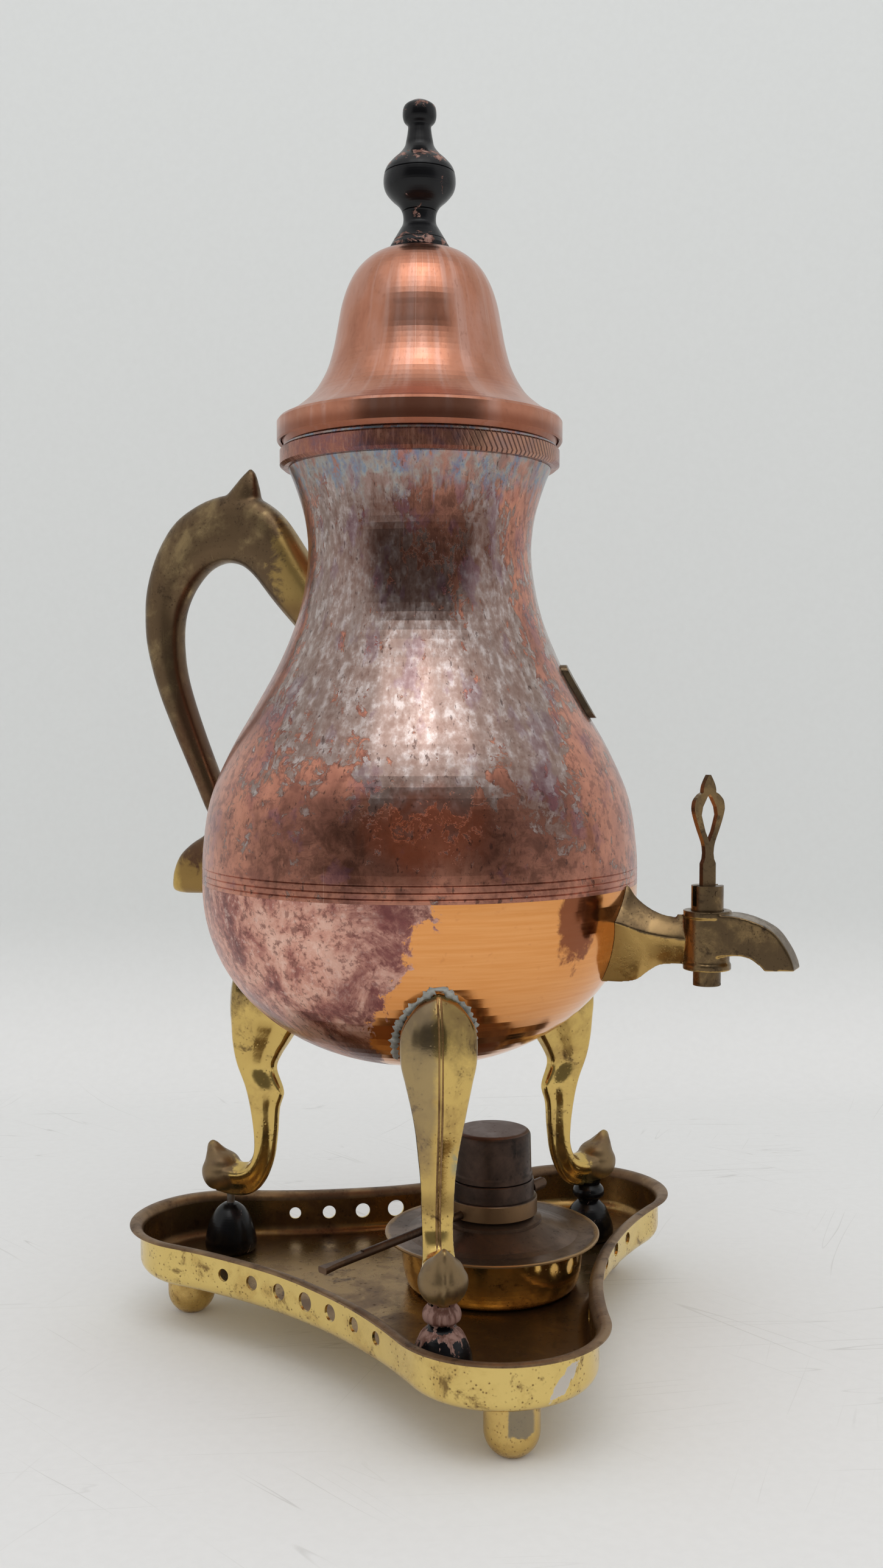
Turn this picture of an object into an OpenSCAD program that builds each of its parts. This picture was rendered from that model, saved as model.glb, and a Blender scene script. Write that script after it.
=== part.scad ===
/* [Urn] */
// Height of the whole object to the top of the finial
total_h = 450; // [420:1:480]
// Largest radius of the belly
belly_r = 79; // [74:0.5:84]
// Radius of the narrowest part of the neck
throat_r = 40.4; // [38:0.2:43]
// Radius of the neck under its band
neck_r = 47.4; // [46:0.2:49]
// Height of the seam between upper body and bowl
seam_z = 170; // [165:0.5:176]
// Depth of the bowl below the seam
bowl_depth = 66.5; // [62:0.5:70]
// Thickness of the spun copper
wall = 1.2; // [0.8:0.1:1.6]
// Height of the band round the neck
band_h = 6.85; // [5:0.05:9]
// Thickness of the band round the neck
band_t = 3.1; // [2:0.1:4]

/* [Lid] */
// Radius of the rolled rim of the lid
lid_r = 51.5; // [50:0.1:53]
// Height of the lid without its finial
lid_h = 69.2; // [62:0.2:76]
// Thickness of the lid sheet
lid_t = 1.1; // [0.8:0.1:1.4]
// Height of the finial
finial_h = 53; // [48:0.5:58]
// Largest radius of the finial
finial_r = 13; // [11:0.5:15]

/* [Tap] */
// Height of the waterway of the tap
tap_z = 154.5; // [151:0.5:156]
// Distance of the plug from the axis of the urn
plug_r = 107.5; // [104:0.5:112]
// Distance of the spout's lip from the axis of the urn
tap_reach = 138; // [132:0.5:144]
// Half width of the flare where it meets the bowl
flare_w = 9.4; // [8:0.1:11]
// Outer radius of the barrel
barrel_r = 7.6; // [7:0.1:8.5]
// Diameter of the waterway
waterway_d = 4.5; // [3.5:0.1:4.8]
// Height of the openwork key
key_h = 44.2; // [36:0.2:50]
// Angle between key blade and spout as photographed
key_turn = 53; // [0:1:90]

/* [Handle] */
// Reach of the handle from the axis of the urn
handle_reach = 118; // [112:0.5:123]
// Width of the grip
grip_w = 13; // [10:0.5:15]

/* [Legs] */
// Radius of the circle that the three wooden feet stand on
leg_circle = 82; // [78:0.5:86]
// Height at which the brass legs end on the wooden feet
leg_z = 44; // [42:0.5:47]
// Largest width of a leg
leg_w = 25; // [20:0.5:28]
// Largest diameter of a wooden foot
acorn_d = 20; // [17:0.5:21]

/* [Tray] */
// Radius of the circle of the three lobe centres
lobe_circle = 83; // [80:0.5:88]
// Radius of a lobe at the edge of the flange
lobe_r = 36; // [34:0.5:39]
// Distance of the waist from the tray's centre, at the edge of the flange
waist = 66; // [62:0.5:72]
// Height of the rim above the table
rim_z = 37; // [34:0.5:39]
// Height of the ball feet
ball_h = 19.5; // [17:0.5:21]
// Thickness of the sheet brass
sheet = 1; // [0.8:0.1:1.2]
// Diameter of the largest pierced hole
hole_d = 6.6; // [5:0.1:7.4]
// Turn of the tray against the urn's legs as photographed
tray_turn = 9.3; // [0:0.1:12]
// Place of the tray's centre from the urn's axis, towards the tap
tray_x = 4.5; // [0:0.5:6]
// Place of the tray's centre from the urn's axis, across
tray_y = 2; // [0:0.5:4]

/* [Burner] */
// Place of the burner from the urn's axis, towards the tap
burner_x = 25; // [21:0.5:26]
// Place of the burner from the urn's axis, across
burner_y = 9; // [5:0.5:11]
// Radius of the burner's plate
plate_r = 39.4; // [37:0.2:40]
// Height of the spirit reservoir
reservoir_h = 18.6; // [16:0.2:21]
// Outer radius of the regulator sleeve
sleeve_r = 16.6; // [16:0.1:17.2]
// Height of the snuffer cap
cap_h = 17.4; // [15:0.2:21]
// Length of the regulator lever from the burner's axis
lever_l = 82; // [70:1:86]
// Direction of the regulator lever
lever_az = -111; // [-125:1:-100]

/* [Hidden] */
$fn = 96;
fit = 0.05;
// Clear gap between what is soldered on to the urn and the urn itself
solder = 0.08;
// Turned lip at the top of the neck, its height and how far it stands out
lip_h = 1;
lip_w = 2;
// Gap between the neck's lip and the rim of the lid
rim_gap = 1.3;
lid_top = total_h - finial_h;
lid_rim_z = lid_top - lid_h;
neck_top = lid_rim_z - rim_gap;
band_top = neck_top - lip_h - fit;
// Cut lines above the seam, and the ring of the bowl that laps inside the body
line_depth = 0.35;
line_step = 2.2;
lap = 4;
bowl_power = 2/2.1;
plaque_w = 18;
plaque_h = 19;
plaque_t = 2;
plaque_round = 3;
plaque_turn = 20;
flange = 4;
lip_round = 2;
tray_round = 5;
ball_r = 9;
hole_step = 13.6;
floor_z = ball_h + sheet;
foot_h = leg_z - floor_z;
pin_d = 3;
pin_l = 18;
leg_turns = [-60, 60, 180];
waist_r = (lobe_r*lobe_r - waist*waist - lobe_circle*lobe_circle + waist*lobe_circle)
        / (2*waist - lobe_circle - 2*lobe_r);
waist_c = waist + waist_r;
lobe_half = atan2(waist_c*sin(60), waist_c*cos(60) - lobe_circle);
lobe_hi_y = tray_y + lobe_circle*sin(60 + tray_turn) + lobe_r;
lobe_lo_y = tray_y - lobe_circle*sin(60 - tray_turn) - lobe_r;
place = [-(tap_reach - handle_reach)/2, -(lobe_hi_y + lobe_lo_y)/2, 0];
// Taper of the plug, tail and nut below it, and blade and rivet of the key above it
plug_lo = 4.8;
plug_hi = 5.45;
barrel_down = 10.5;
barrel_up = 9.7;
barrel_lo = tap_z - barrel_down;
barrel_hi = tap_z + barrel_up;
barrel_band = 2.2;
head_h = 8.4;
tail_r = 2;
nut_h = 5.3;
key_w = 6.35;
key_t = 2;
rivet_d = 2;
rivet_z = barrel_hi + 6;
slot_z = barrel_hi + 1.6;
flare_x = 0.785*belly_r;
spout_l = tap_reach - plug_r;
spout_h = 8.8;
spout_w = 6.4;
screw_d = 4;
screw_l = 18;
screw_head = 2.6;
washer_t = 1;
// Burner, from the plate upwards
plate_z = floor_z + reservoir_h;
plate_t = 1;
plate_rise = 4.4;
tube_r = 12.6;
tube_t = 1.5;
wick_r = 6;
wick_wall = 1;
sleeve_z = plate_z + plate_rise + 4;
sleeve_h = 12.6;
cap_gap = 0.5;
cap_r = 14.9;
cap_z = sleeve_z + sleeve_h + cap_gap;
cap_top = cap_z + cap_h;
rod_d = 3;
rod_x = 13.4;
knob_d = 4.4;
lever_z = sleeve_z + 0.23*sleeve_h;
lever_tilt = 3.4;

// A smooth curve through points of any dimension, with n steps between neighbours
function smooth(p, n = 5) = [for (i = [0:len(p) - 2], k = [0:n - 1])
        spline(p[max(i - 1, 0)], p[i], p[i + 1], p[min(i + 2, len(p) - 1)], k/n), p[len(p) - 1]];
function spline(a, b, c, d, t) =
    0.5*(2*b + (c - a)*t + (2*a - 5*b + 4*c - d)*t*t + (3*b - a - 3*c + d)*t*t*t);
// Points along an arc in the section plane
function arc(c, r, a0, a1, n = 8) =
    [for (i = [0:n]) c + r*[cos(a0 + (a1 - a0)*i/n), sin(a0 + (a1 - a0)*i/n)]];
// The same profile moved by t to its left, for the inside of a sheet
function beside(p, t) = [for (i = [0:len(p) - 1])
        let (d = p[min(i + 1, len(p) - 1)] - p[max(i - 1, 0)], q = p[i] + t*[-d.y, d.x]/norm(d))
        [p[i].x < 0.01 ? 0 : max(q.x, 0), q.y]];
function back(p) = [for (i = [len(p) - 1:-1:0]) p[i]];
function at(r, a) = [r*cos(a), r*sin(a), 0];
function share(p, o, x, y) = [for (q = p) [o.x + x*q.x, o.y + y*q.y]];
function mirrored(p) = concat(p, back([for (q = p) [-q.x, q.y]]));
// Height on the upper body, from the seam at 0 to the top of the neck at 1
function up(s) = seam_z + s*(neck_top - seam_z);

// A sheet of thickness t turned about the axis, with the profile p on its outside
module spun(p, t) { rotate_extrude() polygon(concat(p, back(beside(p, t)))); }
// Bar swept along stations [outer r, outer z, inner r, inner z, width], with a section of
// [share of the way from inside to outside, share of the width]
module bar(stations, section) {
    m = len(section);
    k = len(stations);
    pts = [for (s = stations, q = section)
        [s[2] + (s[0] - s[2])*q[0], s[4]*q[1], s[3] + (s[1] - s[3])*q[0]]];
    sides = [for (i = [0:k - 2], j = [0:m - 1], h = [0, 1]) let (n = (j + 1)%m)
        h == 0 ? [i*m + j, i*m + n, (i + 1)*m + n] : [i*m + j, (i + 1)*m + n, (i + 1)*m + j]];
    polyhedron(pts, concat(sides, [[for (j = [m - 1:-1:0]) j]],
        [[for (j = [0:m - 1]) (k - 1)*m + j]]));
}
function both(half) = concat(half, [for (q = back(half)) [q[0], -q[1]]]);

// Outside of the bowl, from its lowest point up to the seam
bowl_profile = [for (i = [0:26]) let (t = 90 - 90*i/26)
    [belly_r*pow(cos(t), bowl_power), seam_z - bowl_depth*pow(sin(t), bowl_power)]];
// Outside of the upper body, from the seam up to the neck: share of the way from the throat out to
// the belly, or out to the neck, against share of the height
body_belly = [[1, 0.003], [0.99, 0.077], [0.917, 0.192], [0.725, 0.3035], [0.487, 0.406], [0.264, 0.507],
    [0.101, 0.607], [0.018, 0.703], [0, 0.773]];
body_neck = [[0.2, 0.8435], [0.643, 0.909], [1, 0.948]];
body_profile = concat([[belly_r, seam_z + 0.02]], smooth(concat(
    [for (q = body_belly) [throat_r + q.x*(belly_r - throat_r), up(q.y)]],
    [for (q = body_neck) [throat_r + q.x*(neck_r - throat_r), up(q.y)]]), 5),
    [[neck_r, neck_top - lip_h]]);

// Body
module body_upper() {
    color("rosybrown") difference() {
        union() {
            spun(body_profile, wall);
            rotate_extrude() polygon([[neck_r - wall, neck_top - 1.6*lip_h],
                [neck_r - wall/6, neck_top - 1.6*lip_h], [neck_r - wall/6, neck_top - lip_h],
                [neck_r + lip_w, neck_top - lip_h], [neck_r + lip_w, neck_top - 0.3*lip_h],
                [neck_r + 0.85*lip_w, neck_top], [neck_r - wall, neck_top]]);
        }
        for (k = [0.64, 1.59, 2.64]) belly_line(seam_z + k*line_step);
    }
}
module belly_line(z) {
    rotate_extrude() polygon([[belly_r - line_depth, z], [belly_r + line_depth, z - 2*line_depth],
        [belly_r + line_depth, z + 2*line_depth]]);
}
module body_lower() {
    color("darkorange") union() {
        spun(bowl_profile, wall);
        rotate_extrude() polygon([[belly_r - 2*wall, seam_z - 2*lap],
            [belly_r - 0.75*wall, seam_z - 1.75*lap], [belly_r - 0.75*wall, seam_z],
            [belly_r - wall - 5*fit, seam_z], [belly_r - wall - 5*fit, seam_z + lap],
            [belly_r - 2*wall, seam_z + lap]]);
    }
}
// The filled outside of the urn, larger by gap, for cutting what is soldered on to it
module urn_outside(gap) {
    rotate_extrude() polygon(concat([[0, seam_z - bowl_depth - gap]],
        beside(bowl_profile, -gap), beside(body_profile, -gap), [[0, neck_top - lip_h]]));
}
module neck_band() {
    r = neck_r + fit;
    color("peru") translate([0, 0, band_top - band_h]) rotate_extrude()
        polygon([[r, 0], [neck_r + 0.58*band_t, 0], [neck_r + band_t, 0.15*band_h],
            [neck_r + band_t, 0.905*band_h], [neck_r + 0.81*band_t, band_h], [r, band_h]]);
}
module plaque() {
    z = up(0.4377);
    w = plaque_w/2 - plaque_round;
    h = plaque_h/2 - plaque_round;
    color("dimgray") difference() {
        rotate([0, 0, plaque_turn]) translate([0, 0, z]) rotate([90, 0, 90]) linear_extrude(belly_r)
            polygon(concat(arc([-w, -h], plaque_round, 180, 270, 5),
                arc([w, -h], plaque_round, 270, 360, 5), arc([w, h], plaque_round, 0, 90, 5),
                arc([-w, h], plaque_round, 90, 180, 5)));
        urn_outside(fit);
        difference() {
            translate([0, 0, z - plaque_h]) cylinder(r = 1.2*belly_r, h = 2*plaque_h);
            urn_outside(plaque_t);
        }
    }
}

// Handle, in the plane of the axis on the side away from the tap. Its radii are shares of the
// throat at the root, of the reach at the grip and of the belly at the curled tail, its heights
// are those of the upper body, and its widths are shares of the grip's
handle_drawn = [[0.916, 0.684, 1.04, 0.543, 1.462], [1.153, 0.767, 1.275, 0.601, 1.346],
    [1.113, 0.859, 1.172, 0.657, 1.192], [1.065, 0.904, 1.089, 0.714, 1.115],
    [1.023, 0.92, 1.01, 0.745, 1.077], [1.005, 0.917, 0.957, 0.755, 1.077],
    [0.99, 0.896, 0.911, 0.748, 1.077], [0.979, 0.856, 0.87, 0.725, 1.077],
    [0.953, 0.786, 0.836, 0.681, 1.046], [0.991, 0.703, 0.866, 0.626, 1.015],
    [1, 0.626, 0.873, 0.559, 1], [0.991, 0.55, 0.862, 0.486, 0.969],
    [0.953, 0.447, 0.834, 0.415, 0.923], [0.97, 0.342, 0.86, 0.329, 0.892],
    [0.985, 0.24, 0.882, 0.24, 0.862], [1.029, 0.166, 0.918, 0.169, 0.846],
    [1.12, 0.118, 0.962, 0.102, 0.846], [1.158, 0.088, 0.968, 0, 0.885],
    [1.234, 0.064, 1.101, -0.054, 0.923], [1.297, 0.035, 1.222, -0.063, 0.877],
    [1.329, 0, 1.304, -0.061, 0.654], [1.333, -0.028, 1.333, -0.052, 0.308]];
handle_holds = [[0, throat_r], [1, throat_r], [8, handle_reach], [12, handle_reach], [16, belly_r],
    [21, belly_r]];
spur_drawn = [[0.962, 0.831, 1.154, 0.901, 0.923], [0.92, 0.875, 1.085, 0.933, 0.731],
    [0.927, 0.923, 1.025, 0.962, 0.5], [0.948, 0.968, 0.975, 0.984, 0.169]];
function held(q, r) = [q[0]*r, up(q[1]), q[2]*r, up(q[3]), q[4]*grip_w];
handle_path = smooth([for (i = [0:len(handle_drawn) - 1])
    held(handle_drawn[i], lookup(i, handle_holds))], 3);
spur_path = smooth([for (q = spur_drawn) held(q, lookup(4, handle_holds))], 3);
handle_section = both([[1, 0.2], [0.9, 0.36], [0.7, 0.5], [0.3, 0.5], [0.08, 0.34], [0, 0.2]]);
module handle() {
    color("darkgoldenrod") difference() {
        rotate([0, 0, 180]) union() {
            bar(handle_path, handle_section);
            bar(spur_path, handle_section);
        }
        urn_outside(solder);
    }
}

// Legs. Radii are shares of the belly at the top and of the circle of the feet below, heights are
// shares of the way from the wooden foot to the seam, and widths are shares of the largest
leg_drawn = [[0.904, 0.77, 0.835, 0.758, 0.12], [0.952, 0.74, 0.759, 0.706, 0.6],
    [1.005, 0.687, 0.671, 0.627, 0.976], [1.025, 0.615, 0.658, 0.54, 1],
    [1.022, 0.556, 0.703, 0.488, 0.88], [1.013, 0.492, 0.757, 0.437, 0.744],
    [0.984, 0.423, 0.774, 0.394, 0.632], [0.935, 0.345, 0.728, 0.327, 0.536],
    [0.895, 0.27, 0.745, 0.273, 0.464], [0.867, 0.194, 0.749, 0.195, 0.432],
    [0.86, 0.143, 0.763, 0.115, 0.412], [0.885, 0.107, 0.811, 0.044, 0.424],
    [0.933, 0.098, 0.878, 0.002, 0.48], [0.994, 0.103, 0.97, -0.011, 0.56],
    [1.049, 0.111, 1.073, -0.004, 0.52]];
leg_holds = [[0, belly_r], [5, belly_r], [10, leg_circle], [14, leg_circle]];
function leg_up(s) = leg_z + s*(seam_z - leg_z);
leg_path = smooth([for (i = [0:len(leg_drawn) - 1]) let (q = leg_drawn[i], r = lookup(i, leg_holds))
    [q[0]*r, leg_up(q[1]), q[2]*r, leg_up(q[3]), q[4]*leg_w]], 3);
leg_section = both([[1, 0.06], [0.93, 0.11], [0.72, 0.5], [0.46, 0.46], [0.2, 0.22], [0, 0.12]]);
module leg(turn) {
    color("goldenrod") rotate([0, 0, turn]) difference() {
        union() {
            bar(leg_path, leg_section);
            hull() {
                translate([1.044*leg_circle, 0, leg_up(0.059)]) sphere(r = 0.332*leg_w, $fn = 32);
                translate([1.1*leg_circle, 0, leg_up(0.135)]) sphere(r = 0.032*leg_w, $fn = 12);
            }
        }
        urn_outside(solder);
        translate([leg_circle/2, -leg_w, leg_z - foot_h]) cube([leg_circle, 2*leg_w, foot_h]);
        translate([leg_circle, 0, leg_z - 1]) cylinder(d = pin_d + 4*fit, h = 0.616*pin_l, $fn = 32);
    }
}
// Acorn and bead of a wooden foot, as shares of the acorn's radius and of the foot's height
acorn = [[0.86, 0], [0.955, 0.05], [1, 0.15], [0.92, 0.32], [0.72, 0.523], [0.545, 0.609], [0.41, 0.66]];
bead = [[0.41, 0.69], [0.59, 0.735], [0.63, 0.81], [0.58, 0.88], [0.45, 0.94]];
// The left foot has no bead. It is one tall egg, and its pin shows above it
egg = [[0.88, 0], [0.97, 0.05], [1, 0.15], [0.96, 0.28], [0.8, 0.523], [0.56, 0.695], [0.3, 0.785]];
module wood_foot(turn, whole = true) {
    side = share(whole ? concat(smooth(acorn, 4), smooth(bead, 4), [[0.48, 1]])
        : concat(smooth(egg, 5), [[0.18, 0.8]]), [0, floor_z], acorn_d/2, foot_h);
    color("black") translate(at(leg_circle, turn)) difference() {
        rotate_extrude() polygon(concat([[0, floor_z]], side, [[0, whole ? leg_z : floor_z + 0.8*foot_h]]));
        translate([0, 0, leg_z - 0.48*pin_l]) cylinder(d = pin_d + 2*fit, h = pin_l);
    }
}
module foot_pin(turn) {
    color("darkgray") translate(at(leg_circle, turn) + [0, 0, leg_z - 0.473*pin_l])
        cylinder(d = pin_d, h = pin_l);
}

// Tap. The flare is given as half thickness against reach, from the bowl to the barrel
flare = share(smooth([[0, 1.06], [0.26, 0.99], [0.43, 0.875], [0.51, 0.71], [0.6, 0.545], [0.68, 0.45],
    [0.79, 0.4], [1, 0.394]], 4), [flare_x, 0], plug_r - 2 - flare_x, flare_w);
module flare_slab(tilt) {
    rotate([90 + tilt, 0, 0]) translate([0, 0, -4*flare_w]) linear_extrude(8*flare_w)
        polygon(concat(flare, back([for (q = flare) [q.x, -q.y]])));
}
module flare_bar() {
    translate([0, 0, tap_z]) intersection() {
        flare_slab(62);
        flare_slab(-62);
        translate([flare_x - 2, -1.02*flare_w, -1.9*flare_w])
            cube([plug_r - flare_x, 2.04*flare_w, 3.8*flare_w]);
    }
}
// Spout: side and plan, and two slopes that leave a ridge along its top
spout_top = [[0, 0.932], [0.283, 1], [0.533, 0.841], [0.757, 0.477], [0.9, -0.114],
    [0.973, -0.614], [1, -0.977]];
spout_under = [[0.633, -0.864], [0.513, -0.591], [0.35, -0.523], [0, -0.682]];
spout_plan = [[0, 1], [0.333, 0.969], [0.667, 0.812], [1.033, 0.719]];
spout_slope = [[-0.067, 0], [0, 1.205], [0.283, 1.227], [0.533, 1.068], [0.757, 0.705],
    [0.913, 0.114], [1.007, -0.477], [1.067, -1.023]];
module spout_side(p) {
    rotate([90, 0, 0]) translate([0, 0, -4*spout_w]) linear_extrude(8*spout_w)
        polygon(share(p, [plug_r, 0], spout_l, spout_h));
}
module spout() {
    translate([0, 0, tap_z]) intersection() {
        spout_side(concat(smooth(spout_top, 4), [[0.68, -1.045]], smooth(spout_under, 3)));
        translate([0, 0, -2*spout_h]) linear_extrude(4*spout_h)
            polygon(concat(share(spout_plan, [plug_r, 0], spout_l, -spout_w),
                back(share(spout_plan, [plug_r, 0], spout_l, spout_w))));
        rotate([34, 0, 0]) spout_side(concat(smooth(spout_slope, 4), [[1.067, -2.3], [-0.067, -2.3]]));
        rotate([-34, 0, 0]) spout_side(concat(smooth(spout_slope, 4), [[1.067, -2.3], [-0.067, -2.3]]));
    }
}
module tap_body() {
    bore = barrel_hi - barrel_lo;
    turn_x = plug_r + 0.433*spout_l;
    color("olive") difference() {
        union() {
            flare_bar();
            translate([plug_r, 0, barrel_lo]) cylinder(r = barrel_r, h = bore);
            for (z = [barrel_lo, barrel_hi - barrel_band])
                translate([plug_r, 0, z]) cylinder(r = barrel_r + 0.5, h = barrel_band);
            spout();
        }
        urn_outside(fit);
        translate([plug_r, 0, barrel_lo]) cylinder(r1 = plug_lo + fit, r2 = plug_hi + fit, h = bore);
        translate([plug_r, 0, barrel_hi - 0.01]) cylinder(r = plug_hi + fit, h = barrel_down);
        translate([plug_r, 0, barrel_lo - barrel_down]) cylinder(r = plug_lo + fit, h = barrel_down + 0.01);
        translate([belly_r/2, 0, tap_z]) rotate([0, 90, 0])
            cylinder(d = waterway_d, h = turn_x + 1 - belly_r/2);
        translate([turn_x, 0, tap_z]) rotate([0, 130, 0]) translate([0, 0, -1])
            cylinder(d = waterway_d, h = spout_l);
    }
}
module tap_plug() {
    slot_w = key_t + 2*fit;
    color("sienna") translate([plug_r, 0, 0]) rotate([0, 0, key_turn]) difference() {
        union() {
            translate([0, 0, barrel_lo + fit])
                cylinder(r1 = plug_lo, r2 = plug_hi, h = barrel_hi - barrel_lo - fit);
            translate([0, 0, barrel_hi]) cylinder(r = plug_hi, h = head_h);
            translate([0, 0, barrel_lo - nut_h - 3*fit]) cylinder(r = tail_r, h = nut_h + 1);
        }
        translate([-2*plug_hi, -slot_w/2, slot_z]) cube([4*plug_hi, slot_w, head_h + 1]);
        translate([0, 0, rivet_z]) rotate([90, 0, 0]) translate([0, 0, -2*plug_hi])
            cylinder(d = rivet_d + 2*fit, h = 4*plug_hi);
        translate([-2*plug_hi, 0, tap_z]) rotate([0, 90, 0]) cylinder(d = waterway_d, h = 4*plug_hi);
    }
}
// Half outline and opening of the key, as shares of its half width and its height above the slot
key_side = share(concat([[0.428, 0], [0.425, 0.321], [0.31, 0.355]], smooth([[0.268, 0.4], [0.31, 0.455],
    [0.428, 0.507], [0.643, 0.579], [0.861, 0.662], [0.985, 0.724], [0.99, 0.765], [0.9, 0.81],
    [0.62, 0.852]], 3), [[0.42, 0.866]], smooth([[0.42, 0.884], [0.36, 0.92], [0.21, 0.965],
    [0.06, 1]], 3)), [0, 0], key_w, key_h);
key_hole = share([[0, 0.486], [0.27, 0.565], [0.41, 0.631], [0.534, 0.693], [0.45, 0.755], [0.16, 0.83],
    [0, 0.853]], [0, 0], key_w, key_h);
module tap_key() {
    z = slot_z + 0.02;
    color("darkolivegreen") translate([plug_r, 0, z]) rotate([90, 0, key_turn])
        translate([0, 0, -key_t/2]) difference() {
            linear_extrude(key_t) difference() {
                polygon(mirrored(key_side));
                polygon(mirrored(key_hole));
            }
            translate([0, rivet_z - z, -1]) cylinder(d = rivet_d + 2*fit, h = key_t + 2);
        }
}
module tap_rivet() {
    color("tan") translate([plug_r, 0, rivet_z]) rotate([90, 0, key_turn])
        translate([0, 0, -plug_hi - 0.15]) cylinder(d = rivet_d, h = 2*plug_hi + 0.3);
}
module tap_nut() {
    color("sienna") translate([plug_r, 0, barrel_lo - nut_h - fit]) difference() {
        cylinder(r = plug_lo - 2*fit, h = nut_h);
        translate([0, 0, -1]) cylinder(r = tail_r + fit, h = nut_h + 2);
        translate([-plug_lo, -tail_r*0.3, -1]) cube([2*plug_lo, tail_r*0.6, 2]);
    }
}

// Lid
dome_drawn = [[0.9476, 0.1301], [0.8524, 0.1763], [0.7437, 0.2514], [0.6524, 0.3671],
    [0.6039, 0.4841], [0.5748, 0.5954], [0.5437, 0.7139], [0.4951, 0.8179], [0.4233, 0.9032],
    [0.3184, 0.9682], [0.2058, 0.9986]];
dome_profile = concat(share([[0.992, 0], [1, 0.0087], [1, 0.104], [0.986, 0.1185]],
    [0, lid_rim_z], lid_r, lid_h), share(smooth(dome_drawn, 4), [0, lid_rim_z], lid_r, lid_h),
    [[0.194*lid_r, lid_top], [screw_d/2 + 0.1, lid_top]]);
module lid_dome() { color("indianred") spun(dome_profile, lid_t); }
module lid_collar() {
    skirt = neck_r - wall - 10*fit;
    edge = lid_r - lid_t - 2*fit;
    t = 1;
    color("brown") rotate_extrude() polygon([[skirt - t, neck_top - band_h], [skirt, neck_top - band_h],
        [skirt, neck_top], [neck_r + t, neck_top], [edge, lid_rim_z + 1.8*t],
        [edge, lid_rim_z + 0.075*lid_h], [edge - 0.9*t, lid_rim_z + 0.075*lid_h],
        [edge - 0.9*t, lid_rim_z + 2.3*t], [neck_r + 0.4*t, neck_top + 1.1*t],
        [skirt - t, neck_top + 1.1*t]]);
}
// Finial, and its cut lines, as shares of its radius and of its height above the lid
finial_drawn = [[0.231, 0.994], [0.423, 0.962], [0.469, 0.906], [0.431, 0.862], [0.327, 0.832],
    [0.331, 0.792], [0.369, 0.736], [0.415, 0.691], [0.562, 0.642], [0.792, 0.589], [0.946, 0.536],
    [1, 0.464], [0.954, 0.4], [0.792, 0.347], [0.577, 0.298], [0.469, 0.245], [0.462, 0.181],
    [0.562, 0.132], [0.708, 0.072]];
finial_lines = [[0.977, 0.509], [0.508, 0.668], [0.485, 0.257], [0.738, 0.064]];
module finial() {
    side = share(concat([[0, 1]], smooth(finial_drawn, 4), [[0.815, 0.026], [0.815, 0], [0, 0]]),
        [0, lid_top], finial_r, finial_h);
    w = 0.03*finial_r;
    color("black") difference() {
        rotate_extrude() polygon(side);
        for (q = share(finial_lines, [0, lid_top], finial_r, finial_h)) rotate_extrude()
            polygon([[q.x - w, q.y], [q.x + 2.5*w, q.y - 1.8*w], [q.x + 2.5*w, q.y + 1.8*w]]);
        translate([0, 0, lid_top - 1]) cylinder(d = screw_d + 2*fit, h = screw_l - 2.5);
    }
}
module finial_screw() {
    color("silver") difference() {
        translate([0, 0, lid_top - lid_t - washer_t - screw_head]) union() {
            cylinder(d = 2*screw_d, h = screw_head);
            cylinder(d = screw_d, h = screw_l);
        }
        translate([-1.2*screw_d, -0.15*screw_d, lid_top - lid_t - washer_t - 1.15*screw_head])
            cube([2.4*screw_d, 0.3*screw_d, 0.54*screw_head]);
    }
}
module finial_washer() {
    color("silver") translate([0, 0, lid_top - lid_t - washer_t]) difference() {
        cylinder(d = 3.5*screw_d, h = washer_t);
        translate([0, 0, -1]) cylinder(d = screw_d + 4*fit, h = washer_t + 2);
    }
}

// Tray: section of wall and flange as [distance in from the flange's edge, height], and the
// outline that the section is carried round, of three lobes with an arc curving in between each pair
waist_half = lobe_half - 60;
bend = [flange + sheet + tray_round - sheet, ball_h + tray_round];
lip = [flange - lip_round, rim_z - sheet - lip_round];
tray_section = concat(arc(bend, tray_round, 270, 180, 4), arc(lip, lip_round, 0, 90, 3),
    [[0, rim_z - 1.4*sheet], [0, rim_z - 0.4*sheet]], arc(lip, lip_round + sheet, 90, 0, 3),
    arc(bend, tray_round - sheet, 180, 270, 4));
function around(a) = [cos(a), sin(a)];
function tray_outline(d) = [for (k = [0:2]) let (a = 120*k) each concat(
    [for (i = [0:20]) lobe_circle*around(a) + (lobe_r - d)*around(a + lobe_half*(i/10 - 1))],
    [for (i = [1:7]) waist_c*around(a + 60) + (waist_r + d)*around(a + 240 + waist_half*(1 - i/4))])];
module tray_shell() {
    rings = [for (q = tray_section) tray_outline(q.x)];
    m = len(rings[0]);
    k = len(rings);
    pts = [for (i = [0:k - 1]) for (p = rings[i]) [p.x, p.y, tray_section[i].y]];
    sides = [for (i = [0:k - 2], j = [0:m - 1], h = [0, 1]) let (n = (j + 1)%m)
        h == 0 ? [i*m + j, (i + 1)*m + n, i*m + n] : [i*m + j, (i + 1)*m + j, (i + 1)*m + n]];
    polyhedron(pts, concat(sides, [[for (j = [0:m - 1]) j]],
        [[for (j = [m - 1:-1:0]) (k - 1)*m + j]]));
}
hole_sizes = [0.7, 0.79, 0.88, 1, 0.88, 0.79, 0.7];
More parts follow.
